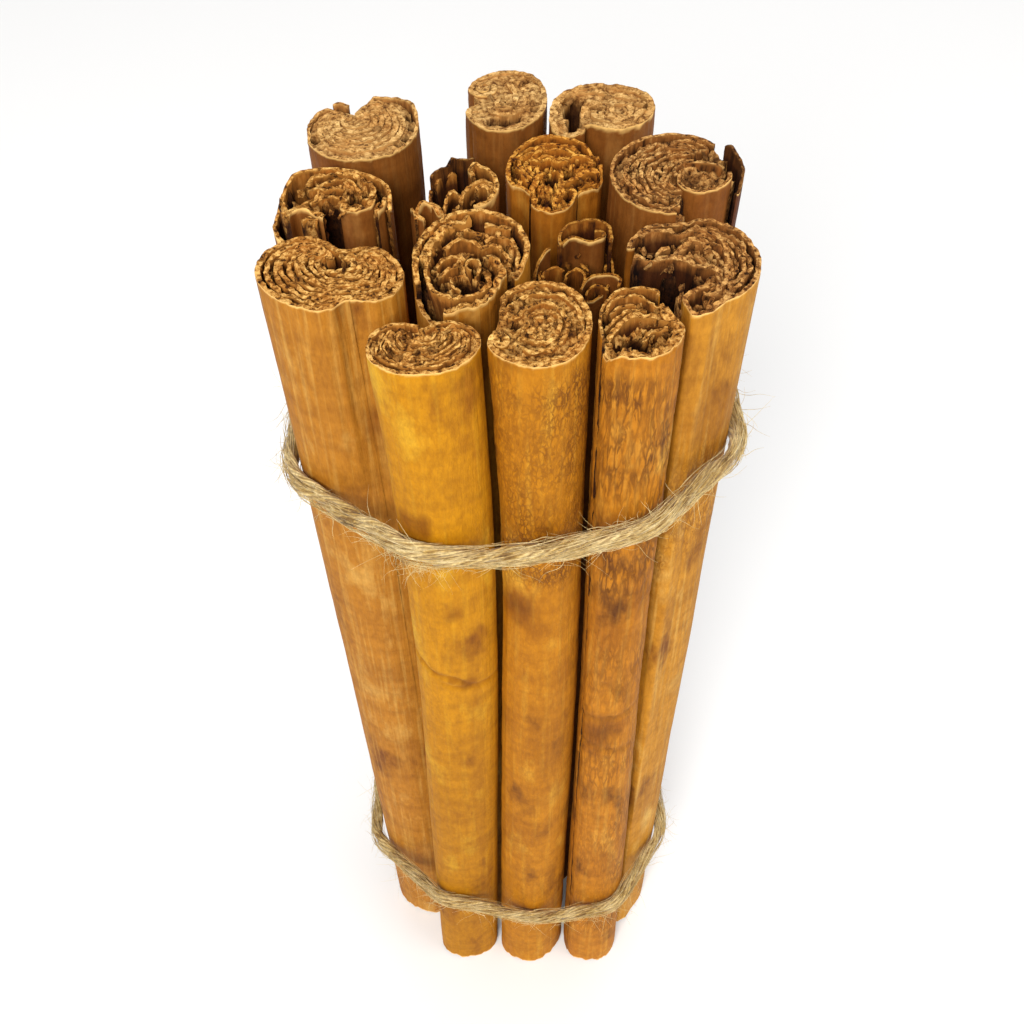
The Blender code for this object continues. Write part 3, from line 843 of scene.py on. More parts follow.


# points, eyes and pits are in millimetres from the middle of a quill's top, +x to the right and +y to
# the back; arcs follow the outline, in degrees anticlockwise from +x; heights are above the floor.
# outer sheets are the bark's outside, inner sheets and nests are rolled inside it, and the core closes it.
# dips and cuts: bearing, depth, spread. pits: x, y, radius, depth. curls: first radius, last, degrees.
# stainsAndShades, dents and swells: bearing, height, wide, tall, strength; most are the bark's own stains,
# a few
# are painted shade. creases: bearing, width, depth, zone.
# rings: height, slope, thickness, depth, bearing, wide. wrinkles: size, stretch, depth, zone.
# rough: strength, zone. A zone is its low end, its high end and its fade
# a sheet's shade scales the painted shade in its pockets, and paintedShadeFloor is the least painted shade
# it takes
# a sheet's stainAndShade darkens and reddens its whole outside; on the sheets that also take a
# paintedShadeFloor it is painted shade
quillLooks = {
    "quill_left_front": dict(
        tone="tan", cut="warm",
        outer=[dict(arc=(291, 658), tuck=(0.14, 0), wall=0.7, ragged=0.12,
                    dips=((66, 0.3, 20), (294, -0.2, 5)))],
        nests=[dict(eye=(0.6, 2.6), shares=(0.95, 0.3), count=8, arc=(112, 398), seed=3, wall=0.6,
                    curls=((1.1, 0.4, 170), (1.0, 0.4, 150)), wavy=0.2, ragged=0.3, crumbs=0.16)],
        core=dict(depth=1.2, layers=6, ridge=0.25, cuts=((296, 0.15, 14),),
                  pits=((0.6, 2.1, 0.9, 9), (-5.7, -0.3, 0.5, 3), (4.6, 1.6, 0.5, 3), (-2.0, 3.4, 0.4, 3),
                        (4.4, -3.3, 0.4, 2), (-1.0, -4.7, 0.4, 2))),
        body=dict(rings=((133, -1.5, 0.35, 0.16, 318, 30), (104, 2.0, 0.5, 0.06, 280, 50)),
                  rough=((0.16, (0, 151, 4)),),
                  stainsAndShades=((308, 133, 22, 2.2, 0.6), (318, 141, 12, 3.5, 0.3), (250, 84, 40, 3, 0.2),
                          (285, 62, 35, 6, 0.22), (262, 22, 40, 5, 0.3)))),
    "quill_front_left": dict(
        tone="ochre", cut="warm",
        outer=[dict(arc=(100, 455), tuck=(0.2, 0.6), wall=0.5, ragged=0.2, dips=((115, -0.2, 25),))],
        nests=[dict(eye=(-0.4, 2.6), shares=(0.92, 0.2), count=9, arc=(150, 395), seed=5,
                    curls=(None, (0.8, 0.3, 90)), wavy=0.12, wall=0.3, ragged=0.2, drops=(0.15, 0.5))],
        core=dict(depth=0.6, pits=((-2.6, 2.2, 0.6, 5), (-1.2, 2.6, 0.5, 5), (-4.0, 0.8, 0.3, 2))),
        body=dict(fine=(90, 103, 0.4),
                  rings=((97, -3.6, 0.45, 0.42, 268, 80), (94.6, -2.0, 0.4, 0.26, 300, 40)),
                  rough=((0.25, (0, 151, 4)),), dents=((292, 111, 16, 1.6, 0.2), (250, 128, 10, 1.0, 0.15)),
                  creases=((289, 0.12, 0.09, (8, 104, 10)),),
                  stainsAndShades=((232, 126.5, 30, 2.6, 0.8), (292, 111, 16, 1.3, 0.5), (252, 97.8, 16, 0.6, 0.4),
                          (284, 96.3, 12, 0.6, 0.55), (308, 95.2, 14, 1.4, 0.75), (300, 102, 30, 4, 0.25),
                          (316, 60, 16, 46, 0.35), (300, 78, 40, 5, 0.25), (268, 60, 60, 2.0, 0.2),
                          (255, 30, 40, 5, 0.25), (270, 36, 90, 42, 0.28)), swells=((0, 0, 40, 36, 0.3),))),
    "quill_front": dict(
        tone="amber", cut="warm",
        outer=[dict(arc=(206, 498), startCurl=(1.25, 0.5, 420), wall=0.75, ragged=0.15)],
        inner=[dict(points=[(-3.3, 1.2), (-2.6, 2.6), (-1.2, 3.7), (0.6, 4.0), (2.3, 3.2), (3.4, 1.4),
                            (3.6, -0.8), (3.1, -3.0), (1.8, -4.4), (-0.4, -4.8), (-2.4, -4.2)], wall=0.6),
               dict(points=[(-3.0, 0.3), (-1.9, 0.9), (-1.2, 1.9), (0.2, 2.5), (1.5, 1.8), (2.2, 0.3),
                            (2.2, -1.4), (1.3, -2.8), (-0.4, -3.4), (-2.2, -3.1)], wall=0.6)],
        nests=[dict(eye=(0.3, -0.5), shares=(0.42, 0.16), count=3, arc=(90, 420), seed=8, wavy=0.1),
               dict(eye=(0.0, 0.0), shares=(0.97, 0.9), count=2, arc=(232, 318), seed=9, wavy=0.1,
                    wall=0.3)],
        core=dict(depth=0.5, lumps=0.3,
                  pits=((-2.4, 3.3, 0.6, 4), (-1.2, 2.7, 0.4, 2), (0.0, 4.8, 0.3, 2), (2.2, 4.2, 0.4, 2),
                        (-3.3, -1.5, 0.35, 3), (1.9, 0.9, 0.3, 1.2), (-2.4, 0.1, 0.4, 2))),
        body=dict(fine=(96, 145, 0.7), swells=((350, 0, 36, 36, 0.45), (185, 0, 36, 36, 0.3)),
                  wrinkles=((0.9, 2.0, 0.13, (100, 152, 14)), (2.4, 1.6, 0.08, (0, 110, 10))),
                  rough=((1.6, (112, 151, 8)), (0.22, (0, 114, 8))),
                  dents=((243, 110, 26, 3.0, 0.25), (300, 74, 20, 3, 0.12)),
                  stainsAndShades=((243, 110, 28, 2.8, 0.6), (268, 107, 18, 2.0, 0.4), (250, 52, 40, 5, 0.25),
                          (285, 82, 30, 12, 0.25), (230, 84, 14, 3, 0.3), (310, 96, 18, 3, 0.25),
                          (265, 66, 50, 3, 0.2)))),
    "quill_front_right": dict(
        tone="leather", cut="warm",
        outer=[dict(arc=(68, 212), wall=0.35, ragged=0.35, proud=1.1, drop=-0.7, limit=1.1,
                    startCurl=(0.8, 0.5, 90)),
               dict(arc=(204, 400), inset=0.05, wall=1.3, ragged=0.5, crumbs=0.35,
                    dips=((218, 1.8, 14), (30, -0.3, 15)))],
        inner=[dict(points=[(-3.4, 0.8), (-2.6, 2.6), (-1.2, 3.4), (0.4, 3.0), (1.2, 2.0), (2.2, 2.4)],
                    ragged=0.7, wall=0.4, proud=0.6, drop=-0.2),
               dict(points=[(-3.4, -0.4), (-2.4, 0.9), (-1.0, 1.9), (0.6, 2.1)], ragged=0.9, drop=0.4,
                    wall=0.4),
               dict(points=[(-3.2, -1.8), (-2.2, -0.6), (-1.0, 0.5), (0.6, 0.9), (2.4, 0.5), (3.2, 0.9)],
                    ragged=0.9, drop=-0.1, proud=0.7, wall=0.7, pale=0.6),
               dict(points=[(-2.9, 1.3), (-1.6, 2.6), (-0.4, 2.5)], ragged=0.9, drop=0.3, wall=0.35),
               dict(points=[(0.2, -1.8), (1.0, -0.6), (2.4, -0.4)], ragged=0.9, drop=0.3, wall=0.6)],
        core=dict(depth=1.9, lumps=0.7, chips=26, cuts=((228, 0.35, 14),),
                  pits=((-0.5, -1.1, 0.6, 10), (-2.9, -2.0, 0.9, 12), (-2.2, -0.9, 0.4, 8),
                        (-2.9, 3.2, 0.5, 5), (1.4, 3.0, 0.5, 5))),
        body=dict(fine=(70, 145, 0.7), swells=((180, 0, 36, 36, 0.45),),
                  wrinkles=((1.1, 2.6, 0.22, (96, 152, 16)), (1.3, 3.0, 0.12, (0, 104, 12))),
                  rough=((1.9, (106, 152, 12)), (0.65, (0, 110, 12))),
                  dents=((250, 80, 30, 3.0, 0.25), (262, 92, 12, 2.0, 0.2)),
                  rings=((84.5, 2.0, 0.5, 0.2, 262, 60), (76.5, -1.0, 0.5, 0.2, 262, 60)),
                  stainsAndShades=((240, 80, 24, 3.0, 0.55), (272, 82.5, 26, 2.2, 0.45), (236, 75.5, 16, 1.2, 0.4),
                          (250, 104, 30, 5, 0.4), (290, 112, 25, 5, 0.35), (236, 122, 14, 5, 0.35),
                          (262, 40, 40, 6, 0.2)))),
    "quill_right_front": dict(
        tone="straw", cut="dusk",
        outer=[dict(before=[(0.8, -3.6), (-0.7, -4.2), (-1.8, -5.4)], arc=(262, 526),
                    endCurl=(0.5, 0.4, 190), wall=0.6, ragged=0.35, dips=((100, 0.8, 16), (172, -0.5, 8)),
                    proud=0.6)],
        inner=[dict(points=[(-6.1, 0.4), (-4.6, -0.1), (-3.0, 0.0), (-1.4, -0.1), (0.2, -0.6), (1.4, -1.6),
                            (1.9, -3.2), (1.6, -4.6), (0.7, -5.2)], wall=0.8, ragged=0.6, crumbs=0.3),
               dict(points=[(-4.9, 3.4), (-3.6, 4.2), (-1.4, 3.9), (0.6, 4.4), (2.2, 3.4), (2.9, 1.8),
                            (2.9, 0.0), (2.6, -2.2), (2.8, -4.2), (1.6, -5.8), (0.2, -6.6)], wall=0.7,
                    ragged=0.5),
               dict(points=[(-1.6, 0.6), (-0.6, 1.8), (0.2, 3.0), (1.0, 2.4), (1.0, 1.0)], wall=0.9,
                    ragged=0.7, drop=0.1, pale=1.0),
               dict(points=[(-3.4, 1.0), (-2.8, 1.8), (-2.2, 2.0)], wall=0.5, ragged=0.4, pale=1.2,
                    drop=0.2),
               dict(points=[(0.0, 0.4), (1.0, -0.2), (1.8, -1.6)], wall=0.8, ragged=0.8, drop=0.2)],
        nests=[dict(eye=(0.0, 0.0), shares=(0.93, 0.5), count=5, arc=(-80, 84), seed=11, wavy=0.35,
                    ragged=0.6, crumbs=0.3)],
        core=dict(depth=1.6, lumps=0.8, chips=26, cuts=((216, 0.35, 24),),
                  pits=((-3.6, 1.9, 1.5, 7), (-1.4, -1.6, 1.2, 18), (-4.4, -1.0, 1.0, 18),
                        (-0.4, -2.8, 0.8, 12), (-2.8, 3.2, 0.7, 5), (1.9, -4.6, 0.5, 3),
                        (3.4, 1.2, 0.4, 3))),
        body=dict(creases=((286, 0.1, 0.10, (60, 150, 12)), (312, 0.08, 0.08, (0, 150, 9))),
                  rough=((0.7, (104, 132, 8)), (0.2, (0, 151, 4))), rings=((128, 1.5, 0.4, 0.1, 296, 45),),
                  # the mark at 166 degrees is painted shade on the side towards quill_front_right
                  stainsAndShades=((302, 133, 38, 5.5, 0.5), (166, 110, 12, 70, 1.0), (258, 140, 12, 7, 0.2),
                          (290, 100, 40, 4, 0.2), (300, 48, 45, 6, 0.25)))),
    "quill_left": dict(
        tone="brown", cut="warm",
        outer=[dict(arc=(-14, 164), wall=0.5, ragged=0.3,
                    dips=((-10, 1.2, 9), (112, -0.3, 24), (168, 2.4, 16)), shade=0.35),
               dict(arc=(152, 214), inset=-0.55, limit=1.13, wall=0.45, ragged=0.4, drop=4.0,
                    dips=((152, -2.0, 12),), pale=1.6),
               dict(arc=(206, 236), inset=0.3, wall=0.4, ragged=0.5, drop=3.6),
               dict(points=[(4.8, -2.2), (5.5, -1.2), (5.6, 0.2)], wall=0.5, ragged=0.9, drop=0.6,
                    pale=0.7),
               dict(points=[(0.9, -1.2), (0.9, -2.1), (1.5, -2.6), (2.6, -2.7), (3.6, -2.4), (4.3, -1.8),
                            (4.5, -0.8)], wall=0.8, ragged=0.15, crumbs=0.25, limit=1.0),
               dict(points=[(-4.1, -3.0), (-3.9, -2.0), (-2.9, -1.7), (-1.9, -2.1), (-1.2, -2.6),
                            (-1.0, -3.6)], wall=0.8, ragged=0.8, drop=0.5, pale=0.6, crumbs=0.4)],
        inner=[dict(points=[(-5.0, -1.9), (-4.2, -1.3), (-3.3, -0.6), (-2.4, 0.2), (-2.0, 0.9)],
                    ragged=0.15, drop=0.9, wall=0.3, pale=0.6, crumbs=0.05, shade=0.3),
               dict(points=[(-2.2, -0.6), (-1.0, 0.2), (0.4, 0.1), (1.4, -0.4)], ragged=0.5, drop=0.6,
                    wall=0.5, shade=0.5),
               dict(points=[(-2.4, 0.4), (-1.4, 1.2), (0.0, 0.9), (1.4, 1.2), (1.8, 0.2)], ragged=0.7,
                    drop=0.1),
               dict(points=[(-2.4, 1.4), (-2.0, 2.9), (-0.4, 3.5), (1.4, 3.3), (2.8, 2.5), (3.8, 1.2),
                            (3.9, -0.6)], ragged=0.6, wall=0.7, crumbs=0.3),
               dict(points=[(-1.4, 1.9), (0.2, 2.4), (1.6, 2.3), (2.4, 1.2), (2.7, 0.0)], ragged=0.8,
                    drop=0.1),
               dict(points=[(3.0, -0.6), (3.9, -0.9), (4.6, 0.2)], ragged=0.6, drop=0.3, wall=0.4),
               dict(points=[(-2.9, -3.0), (-2.2, -2.6), (-1.6, -3.2)], ragged=0.7, drop=1.0, wall=0.5,
                    pale=1.6)],
        core=dict(depth=1.1, lumps=0.8, grain=1.0, chips=16,
                  cuts=((268, 0.8, 16), (308, 0.55, 26), (206, 0.3, 14)),
                  pits=((-3.9, 1.2, 1.3, 4.5), (-3.4, 2.6, 0.9, 4.5), (-0.1, -1.9, 1.1, 16),
                        (-3.4, -0.6, 1.0, 5), (4.4, 1.2, 0.5, 7), (4.7, -0.6, 0.4, 7), (-1.6, -1.2, 0.8, 6),
                        (2.2, 0.4, 0.35, 4))),
        body=dict(creases=((203, 0.15, 0.14, (0, 150, 6)),))),
    "quill_inner_front": dict(
        tone="tan", cut="warm",
        outer=[dict(arc=(-24, 208), wall=0.7, ragged=0.2, proud=1.1, drop=-0.6,
                    dips=((-20, 1.6, 10), (206, 0.8, 10))),
               dict(points=[(-2.7, -7.0), (-0.8, -7.1), (0.8, -6.8), (2.1, -6.1), (3.1, -4.8), (3.5, -3.0),
                            (3.2, -1.2), (2.5, 0.2), (1.6, 0.6), (1.0, 0.2)], wall=0.9, ragged=0.35,
                    crumbs=0.35, pale=0.35, proud=0.6, drop=-0.3, limit=1.0, stainAndShade=0.34,
                    dips=((250, 0.7, 10),)),
               dict(arc=(204, 262), wall=0.5, ragged=0.4, drop=2.4)],
        inner=[dict(points=[(-2.4, 5.2), (-3.8, 3.4), (-4.4, 1.2), (-4.6, -1.2), (-4.2, -3.6), (-3.0, -5.1),
                            (-1.4, -5.6), (0.2, -5.2), (1.4, -4.4), (2.0, -3.2), (1.6, -2.2)], wall=0.55,
                    ragged=0.3, crumbs=0.15, pale=0.4, shade=0.7),
               dict(arc=(98, 180), inset=0.8, wall=1.25, ragged=0.2, pale=1.4, drop=-0.3, proud=0.7,
                    crumbs=0.25),
               dict(points=[(0.7, -1.9), (0.9, -0.9), (0.7, 0.1), (0.0, 0.5), (-0.6, 0.0), (-0.6, -0.9),
                            (-0.1, -1.4)], wall=0.3, ragged=0.2, drop=0.1, crumbs=0.1, pale=0.5),
               dict(points=[(-2.2, -2.2), (-1.9, -3.2), (-1.2, -4.0)], wall=0.3, ragged=0.3, drop=0.4),
               dict(points=[(1.4, 3.2), (2.4, 3.9), (3.8, 3.6), (4.2, 2.2), (4.3, 0.4), (4.2, -1.4)],
                    drop=0.2, wall=0.5, ragged=0.5, shade=0.5),
               dict(points=[(1.2, 5.2), (2.6, 4.9), (3.8, 4.4)], drop=0.2, wall=0.9, ragged=0.5),
               dict(points=[(-1.4, 4.2), (-0.2, 4.9), (1.2, 4.6), (1.6, 3.4)], ragged=0.7, drop=0.4,
                    wall=0.6, shade=0.6),
               dict(points=[(-2.6, 1.8), (-1.6, 2.9), (-0.2, 3.2), (0.8, 2.4)], ragged=0.8, drop=0.5,
                    wall=0.6, shade=0.6),
               dict(points=[(-3.4, 0.2), (-2.6, 1.0), (-1.6, 1.4), (-0.8, 1.0)], ragged=0.8, drop=0.7,
                    wall=0.5),
               dict(points=[(-3.2, -1.8), (-2.4, -0.8), (-1.4, -0.4)], ragged=0.8, drop=0.9, wall=0.5),
               dict(points=[(0.8, 2.2), (1.8, 2.6), (2.8, 2.2), (3.6, 0.9)], ragged=0.6, drop=0.6,
                    wall=0.6)],
        core=dict(depth=1.9, lumps=0.9, grain=1.1, chips=20, cuts=((236, 0.2, 24), (-24, 0.25, 20)),
                  pits=((-3.0, 3.6, 0.7, 6), (-0.9, -2.2, 0.9, 10), (1.9, -0.9, 0.9, 7),
                        (0.1, -0.6, 0.45, 5), (1.4, -3.0, 0.6, 7), (-5.1, -2.8, 0.5, 16),
                        (-5.1, -0.8, 0.4, 16), (-4.9, -4.4, 0.6, 16), (4.9, 2.6, 0.4, 12),
                        (4.9, 0.8, 0.4, 12), (0.6, 3.2, 0.5, 4), (-2.2, -5.9, 1.2, 12),
                        (0.2, -6.1, 0.9, 12), (2.6, -4.8, 0.5, 8), (3.0, 3.0, 0.4, 5)))),
    "quill_inner_left": dict(
        tone="brown", cut="warm",
        outer=[dict(arc=(74, 172), wall=0.35, ragged=1.0, proud=1.3, drop=-0.7, stainAndShade=0.85, limit=1.06,
                    pale=0.1, paintedShadeFloor=0.75),
               dict(arc=(-74, 76), after=[(0.4, 2.3), (0.7, 1.1)], wall=0.6, ragged=0.35, proud=0.9,
                    drop=-0.4, pale=0.6, shade=0.6),
               dict(arc=(168, 292), wall=0.45, ragged=1.1, drop=1.4),
               dict(points=[(-4.9, -3.2), (-4.6, -1.9), (-3.6, -1.4), (-2.7, -2.1), (-2.4, -3.3)], wall=0.4,
                    ragged=1.1, drop=1.1, limit=1.6, reach=14, pale=0.8, shade=0.4),
               dict(points=[(-5.6, -1.4), (-5.2, -2.6), (-4.2, -3.6)], wall=0.35, ragged=1.1, drop=1.2,
                    limit=1.7, reach=12, pale=0.7, shade=0.4)],
        inner=[dict(points=[(-0.1, -2.4), (0.4, -1.2), (1.2, -0.2), (2.2, 0.4), (2.9, -0.5), (3.0, -2.0)],
                    ragged=0.3, drop=-0.3, proud=0.8, wall=0.6, pale=0.7, shade=0.5),
               dict(points=[(1.5, -0.7), (2.1, -0.3), (2.5, -1.0)], ragged=0.3, wall=0.8, pale=1.6,
                    drop=-0.2, proud=0.6),
               dict(points=[(-1.9, -2.8), (-1.5, -1.4), (-1.0, -0.7), (-0.5, -1.6)], ragged=0.6, drop=0.3,
                    pale=0.6),
               dict(points=[(-0.9, -3.0), (-0.4, -1.9), (0.2, -1.2)], ragged=0.9, drop=0.9),
               dict(points=[(-2.9, 0.6), (-2.0, 2.2), (-0.8, 2.7)], ragged=1.0, drop=0.4)],
        core=dict(depth=4.4, lumps=0.8, chips=12, pits=((-0.2, 0.6, 1.6, 12),))),
    "quill_inner_right": dict(
        tone="brown", cut="red",
        outer=[dict(paintedShadeFloor=0.45, stainAndShade=0.45,
                    points=[(3.5, 0.6), (3.6, 1.8), (3.4, 3.1), (2.6, 4.0), (1.2, 4.2), (-0.2, 3.8),
                            (-1.3, 2.8), (-1.8, 1.4), (-1.7, 0.2)], wall=0.4, ragged=0.1, drop=-0.6,
                    proud=1.0, limit=1.25),
               dict(paintedShadeFloor=0.45, stainAndShade=0.45,
                    points=[(-1.6, 0.4), (-0.9, 1.2), (-0.2, 1.5), (0.6, 1.1), (1.4, 0.9), (2.5, 1.1),
                            (3.0, 1.8), (2.7, 2.6), (1.9, 2.7)], wall=0.4, ragged=0.35, drop=-0.4,
                    proud=0.9, limit=1.2, pale=0.4),
               dict(paintedShadeFloor=0.35, stainAndShade=0.5, arc=(140, 262), wall=0.35, ragged=0.9, drop=2.4),
               dict(paintedShadeFloor=0.45, stainAndShade=0.45, points=[(-4.3, -1.6), (-3.9, -0.4), (-3.2, 0.4), (-2.6, 0.9)],
                    wall=0.35, ragged=0.3, drop=0.4, dips=((204, 3.0, 20),), limit=1.2, shade=0.3),
               dict(paintedShadeFloor=0.35, stainAndShade=0.5, arc=(255, 400), wall=0.35, ragged=0.7, drop=2.8),
               dict(paintedShadeFloor=0.45, stainAndShade=0.45,
                    points=[(0.4, -4.0), (0.9, -2.9), (2.0, -2.1), (3.3, -2.1), (4.3, -2.9), (4.6, -4.0)],
                    wall=0.35, ragged=0.4, drop=1.5, limit=1.25, reach=40, shade=0.6)],
        inner=[dict(paintedShadeFloor=0.45, points=[(-3.4, -2.4), (-2.9, -1.1), (-2.1, -0.6), (-1.4, -1.2)], ragged=0.6,
                    drop=1.4, wall=0.35, shade=0.5),
               dict(paintedShadeFloor=0.45, points=[(-1.2, -2.6), (-0.9, -1.5), (-0.1, -1.1), (0.6, -1.7), (0.6, -2.6)],
                    ragged=0.4, drop=1.7, wall=0.35, shade=0.5),
               dict(paintedShadeFloor=0.45, points=[(0.9, -4.2), (1.3, -3.3), (2.2, -3.0), (2.9, -3.6)], ragged=0.3,
                    drop=2.2, wall=0.35, shade=0.5, limit=1.1),
               dict(paintedShadeFloor=0.45, points=[(-0.9, -0.2), (0.1, -0.6), (1.2, -0.4)], ragged=0.7, drop=2.6)],
        core=dict(depth=5.2, lumps=0.7, chips=10, pits=((0.9, 2.4, 1.3, 14), (-2.2, 0.2, 0.8, 8)))),
    "quill_inner_back": dict(
        tone="orange", cut="red",
        outer=[dict(arc=(22, 236), wall=0.55, ragged=0.25, dips=((40, 0.8, 10),), pale=0.3),
               dict(arc=(240, 306), wall=0.45, ragged=0.35, drop=0.9, endCurl=(1.0, 0.5, 200)),
               dict(arc=(-48, 20), wall=0.4, ragged=0.8, drop=1.3, pale=0.3, dips=((14, -0.9, 7),))],
        inner=[dict(points=[(-2.6, 1.3), (-0.9, 2.0), (0.9, 1.5), (2.6, 2.1), (4.0, 1.5)], wall=0.5,
                    ragged=0.7, crumbs=0.12, wavy=0.4, pale=0.5),
               dict(points=[(-1.5, 0.2), (-2.3, -1.4), (-2.7, -3.2), (-2.3, -4.6)], drop=0.2, ragged=0.5,
                    wall=0.7, pale=0.6),
               dict(points=[(-4.2, 1.8), (-3.0, 3.4), (-1.4, 4.4), (0.6, 4.4), (2.4, 3.8)], ragged=0.6,
                    crumbs=0.12, wavy=0.3, pale=0.5),
               dict(points=[(-0.2, 0.6), (0.6, -0.6), (0.2, -2.0), (0.6, -3.4)], drop=0.3, ragged=0.7,
                    wall=0.5, wavy=0.3),
               dict(points=[(-3.8, -2.6), (-3.0, -0.6), (-3.4, 0.8)], drop=0.2, ragged=0.7, wall=0.6,
                    wavy=0.3),
               dict(points=[(0.4, -3.6), (1.0, -1.9), (2.0, -1.2), (3.0, -0.4), (3.8, 0.2), (4.4, -0.4)],
                    drop=0.5, ragged=0.6, wall=0.7, pale=0.8, proud=0.4),
               dict(points=[(2.6, -1.8), (3.4, -1.1), (4.2, -1.2), (4.8, -0.4)], drop=1.1, ragged=0.4,
                    wall=0.5, pale=0.9, proud=0.4),
               dict(points=[(0.0, -4.6), (0.8, -3.4), (1.3, -2.4)], drop=0.7, ragged=0.7, wall=0.8,
                    pale=0.6)],
        nests=[dict(eye=(-0.6, 1.0), shares=(0.84, 0.34), count=4, arc=(30, 215), seed=15, wavy=0.5,
                    ragged=0.8, wall=0.55, crumbs=0.14, pale=0.4)],
        core=dict(depth=1.3, lumps=1.0, grain=1.25, chips=12, cuts=((312, 0.4, 16), (236, 0.15, 8)),
                  pits=((1.3, -2.3, 0.8, 9), (-1.0, -4.2, 0.5, 6), (2.6, -1.4, 0.8, 8), (1.2, 5.0, 0.5, 5),
                        (-4.4, -1.8, 0.5, 5), (4.0, 1.4, 0.4, 5), (-0.2, -0.4, 0.7, 3), (-3.6, 3.4, 0.4, 3),
                        (1.8, 0.6, 0.5, 3), (-1.6, 3.2, 0.4, 3), (-2.4, -2.4, 0.4, 3)))),
    "quill_back_left": dict(
        tone="brown", cut="pale",
        outer=[dict(arc=(118, 464), tuck=(0.7, 0.7), wall=0.45, ragged=0.25, proud=1.3,
                    dips=((24, -1.2, 24), (196, 0.4, 10), (104, 0.4, 12))),
               dict(points=[(-1.9, 4.0), (-2.8, 4.1), (-3.5, 3.7)], wall=0.45, ragged=0.2, proud=0.6,
                    drop=-0.5, limit=1.1, reach=30)],
        nests=[dict(eye=(-1.4, 2.4), shares=(0.86, 0.3), count=6, arc=(130, 452), seed=17, wavy=0.14,
                    wall=0.75, curls=((0.9, 0.4, 120), (1.2, 0.5, 150)), ragged=0.12, crumbs=0.1,
                    drops=(0.05, 0.12), pale=0.5)],
        core=dict(depth=0.35, lumps=0.14, chips=4,
                  pits=((4.9, -1.6, 0.5, 4), (-5.0, -1.6, 0.4, 5), (5.3, 0.4, 0.4, 4), (5.0, 2.2, 0.4, 4),
                        (3.9, -2.6, 0.35, 2), (1.2, -3.2, 0.3, 1.2), (-2.4, -2.6, 0.3, 1.2))),
        body=dict(creases=((252, 0.14, 0.3, (100, 152, 8)), (210, 0.2, 0.16, (0, 152, 9))),
                  rings=((133, 22.0, 0.35, 0.16, 310, 50),),
                  stainsAndShades=((246, 147, 9, 2.0, 0.8), (330, 140, 24, 6, 0.25)))),
    "quill_back": dict(
        tone="brown", cut="pale",
        outer=[dict(arc=(206, 516), startCurl=(0.9, 0.5, 170), endCurl=(1.8, 0.5, 560), wall=0.7,
                    ragged=0.12)],
        inner=[dict(points=[(-2.0, -1.3), (-1.5, -2.5), (0.0, -2.9), (1.6, -2.5), (2.6, -0.9), (2.7, 1.0),
                            (2.0, 3.2), (0.8, 4.4)], wall=0.7),
               dict(points=[(-1.2, 0.2), (-0.9, -1.4), (0.4, -1.7), (1.4, -0.6), (1.4, 1.4), (0.6, 3.2)],
                    wall=0.8)],
        core=dict(depth=0.3, lumps=0.12, chips=5,
                  pits=((-1.4, -3.6, 0.5, 3), (-0.2, -3.7, 0.6, 3), (1.1, -3.2, 0.5, 3),
                        (-0.2, -0.7, 0.35, 3), (2.4, 3.9, 0.4, 2.5), (3.2, -1.4, 0.3, 1.5))),
        body=dict(creases=((224, 0.12, 0.3, (0, 152, 8)),))),
    "quill_back_right": dict(
        tone="brown", cut="pale",
        outer=[dict(before=[(0.2, -0.2), (0.3, 0.6), (-0.4, 1.2), (-1.4, 1.1), (-2.2, 0.4), (-2.5, -0.7),
                            (-2.2, -2.0), (-1.2, -3.2), (0.3, -3.9)], arc=(293, 596),
                    endCurl=(0.9, 0.5, 200), wall=1.0, ragged=0.1, limit=1.75,
                    dips=((70, 0.2, 30), (216, 1.0, 24)), pale=0.45, crumbs=0.16)],
        inner=[dict(points=[(-3.4, 2.6), (-1.8, 2.9), (-0.2, 2.4), (1.4, 2.0), (3.0, 1.4), (4.4, 0.2)],
                    wall=0.8, pale=0.6, ragged=0.5),
               dict(points=[(-4.6, -1.2), (-4.6, 0.6), (-3.6, 2.0)], wall=0.5, drop=0.6, ragged=0.6),
               dict(points=[(-1.5, -0.6), (-1.4, -1.6), (-0.6, -2.4), (0.6, -2.9), (2.0, -3.0), (3.6, -2.3),
                            (4.6, -0.9)], wall=1.0, ragged=0.15, limit=1.5, pale=1.0),
               dict(points=[(-0.6, -1.2), (0.4, -1.9), (1.8, -2.1), (3.0, -1.4), (3.6, 0.0)], wall=1.0,
                    ragged=0.2, limit=1.3, pale=1.0),
               dict(points=[(1.2, -0.8), (1.4, 0.5), (2.4, 0.7), (3.2, 0.2)], wall=0.7, pale=0.6)],
        core=dict(depth=0.45, lumps=0.2, chips=6, cuts=((238, 0.55, 20),),
                  pits=((-3.3, 1.0, 0.9, 7), (-3.4, -0.8, 0.8, 7), (-3.2, -2.4, 0.6, 7),
                        (-0.5, 0.1, 0.55, 7), (2.5, -0.6, 0.35, 5), (5.0, 0.6, 0.3, 3)))),
    "quill_right": dict(
        tone="brown", cut="dusk",
        outer=[dict(arc=(46, 268), after=[(-0.7, -5.6), (0.0, -4.9), (0.4, -3.6)], wall=0.5, ragged=0.25),
               dict(arc=(-17, 36), inset=-0.25, limit=1.05, wall=0.4, ragged=0.9, proud=0.9, stainAndShade=0.95,
                    paintedShadeFloor=0.8, dips=((-14, 1.4, 8), (30, -0.5, 8)), drop=-0.1),
               dict(points=[(0.3, -0.2), (0.2, -1.4), (0.7, -2.5), (1.9, -3.1), (3.4, -3.1), (4.8, -2.5),
                            (5.7, -1.5), (5.9, -0.2)], wall=0.5, ragged=0.2, limit=1.0, proud=0.5,
                    dips=((-14, -0.6, 12),))],
        inner=[dict(points=[(0.2, -0.4), (0.4, 0.8), (1.4, 1.7), (3.4, 1.5), (5.0, 0.6)], wall=0.5,
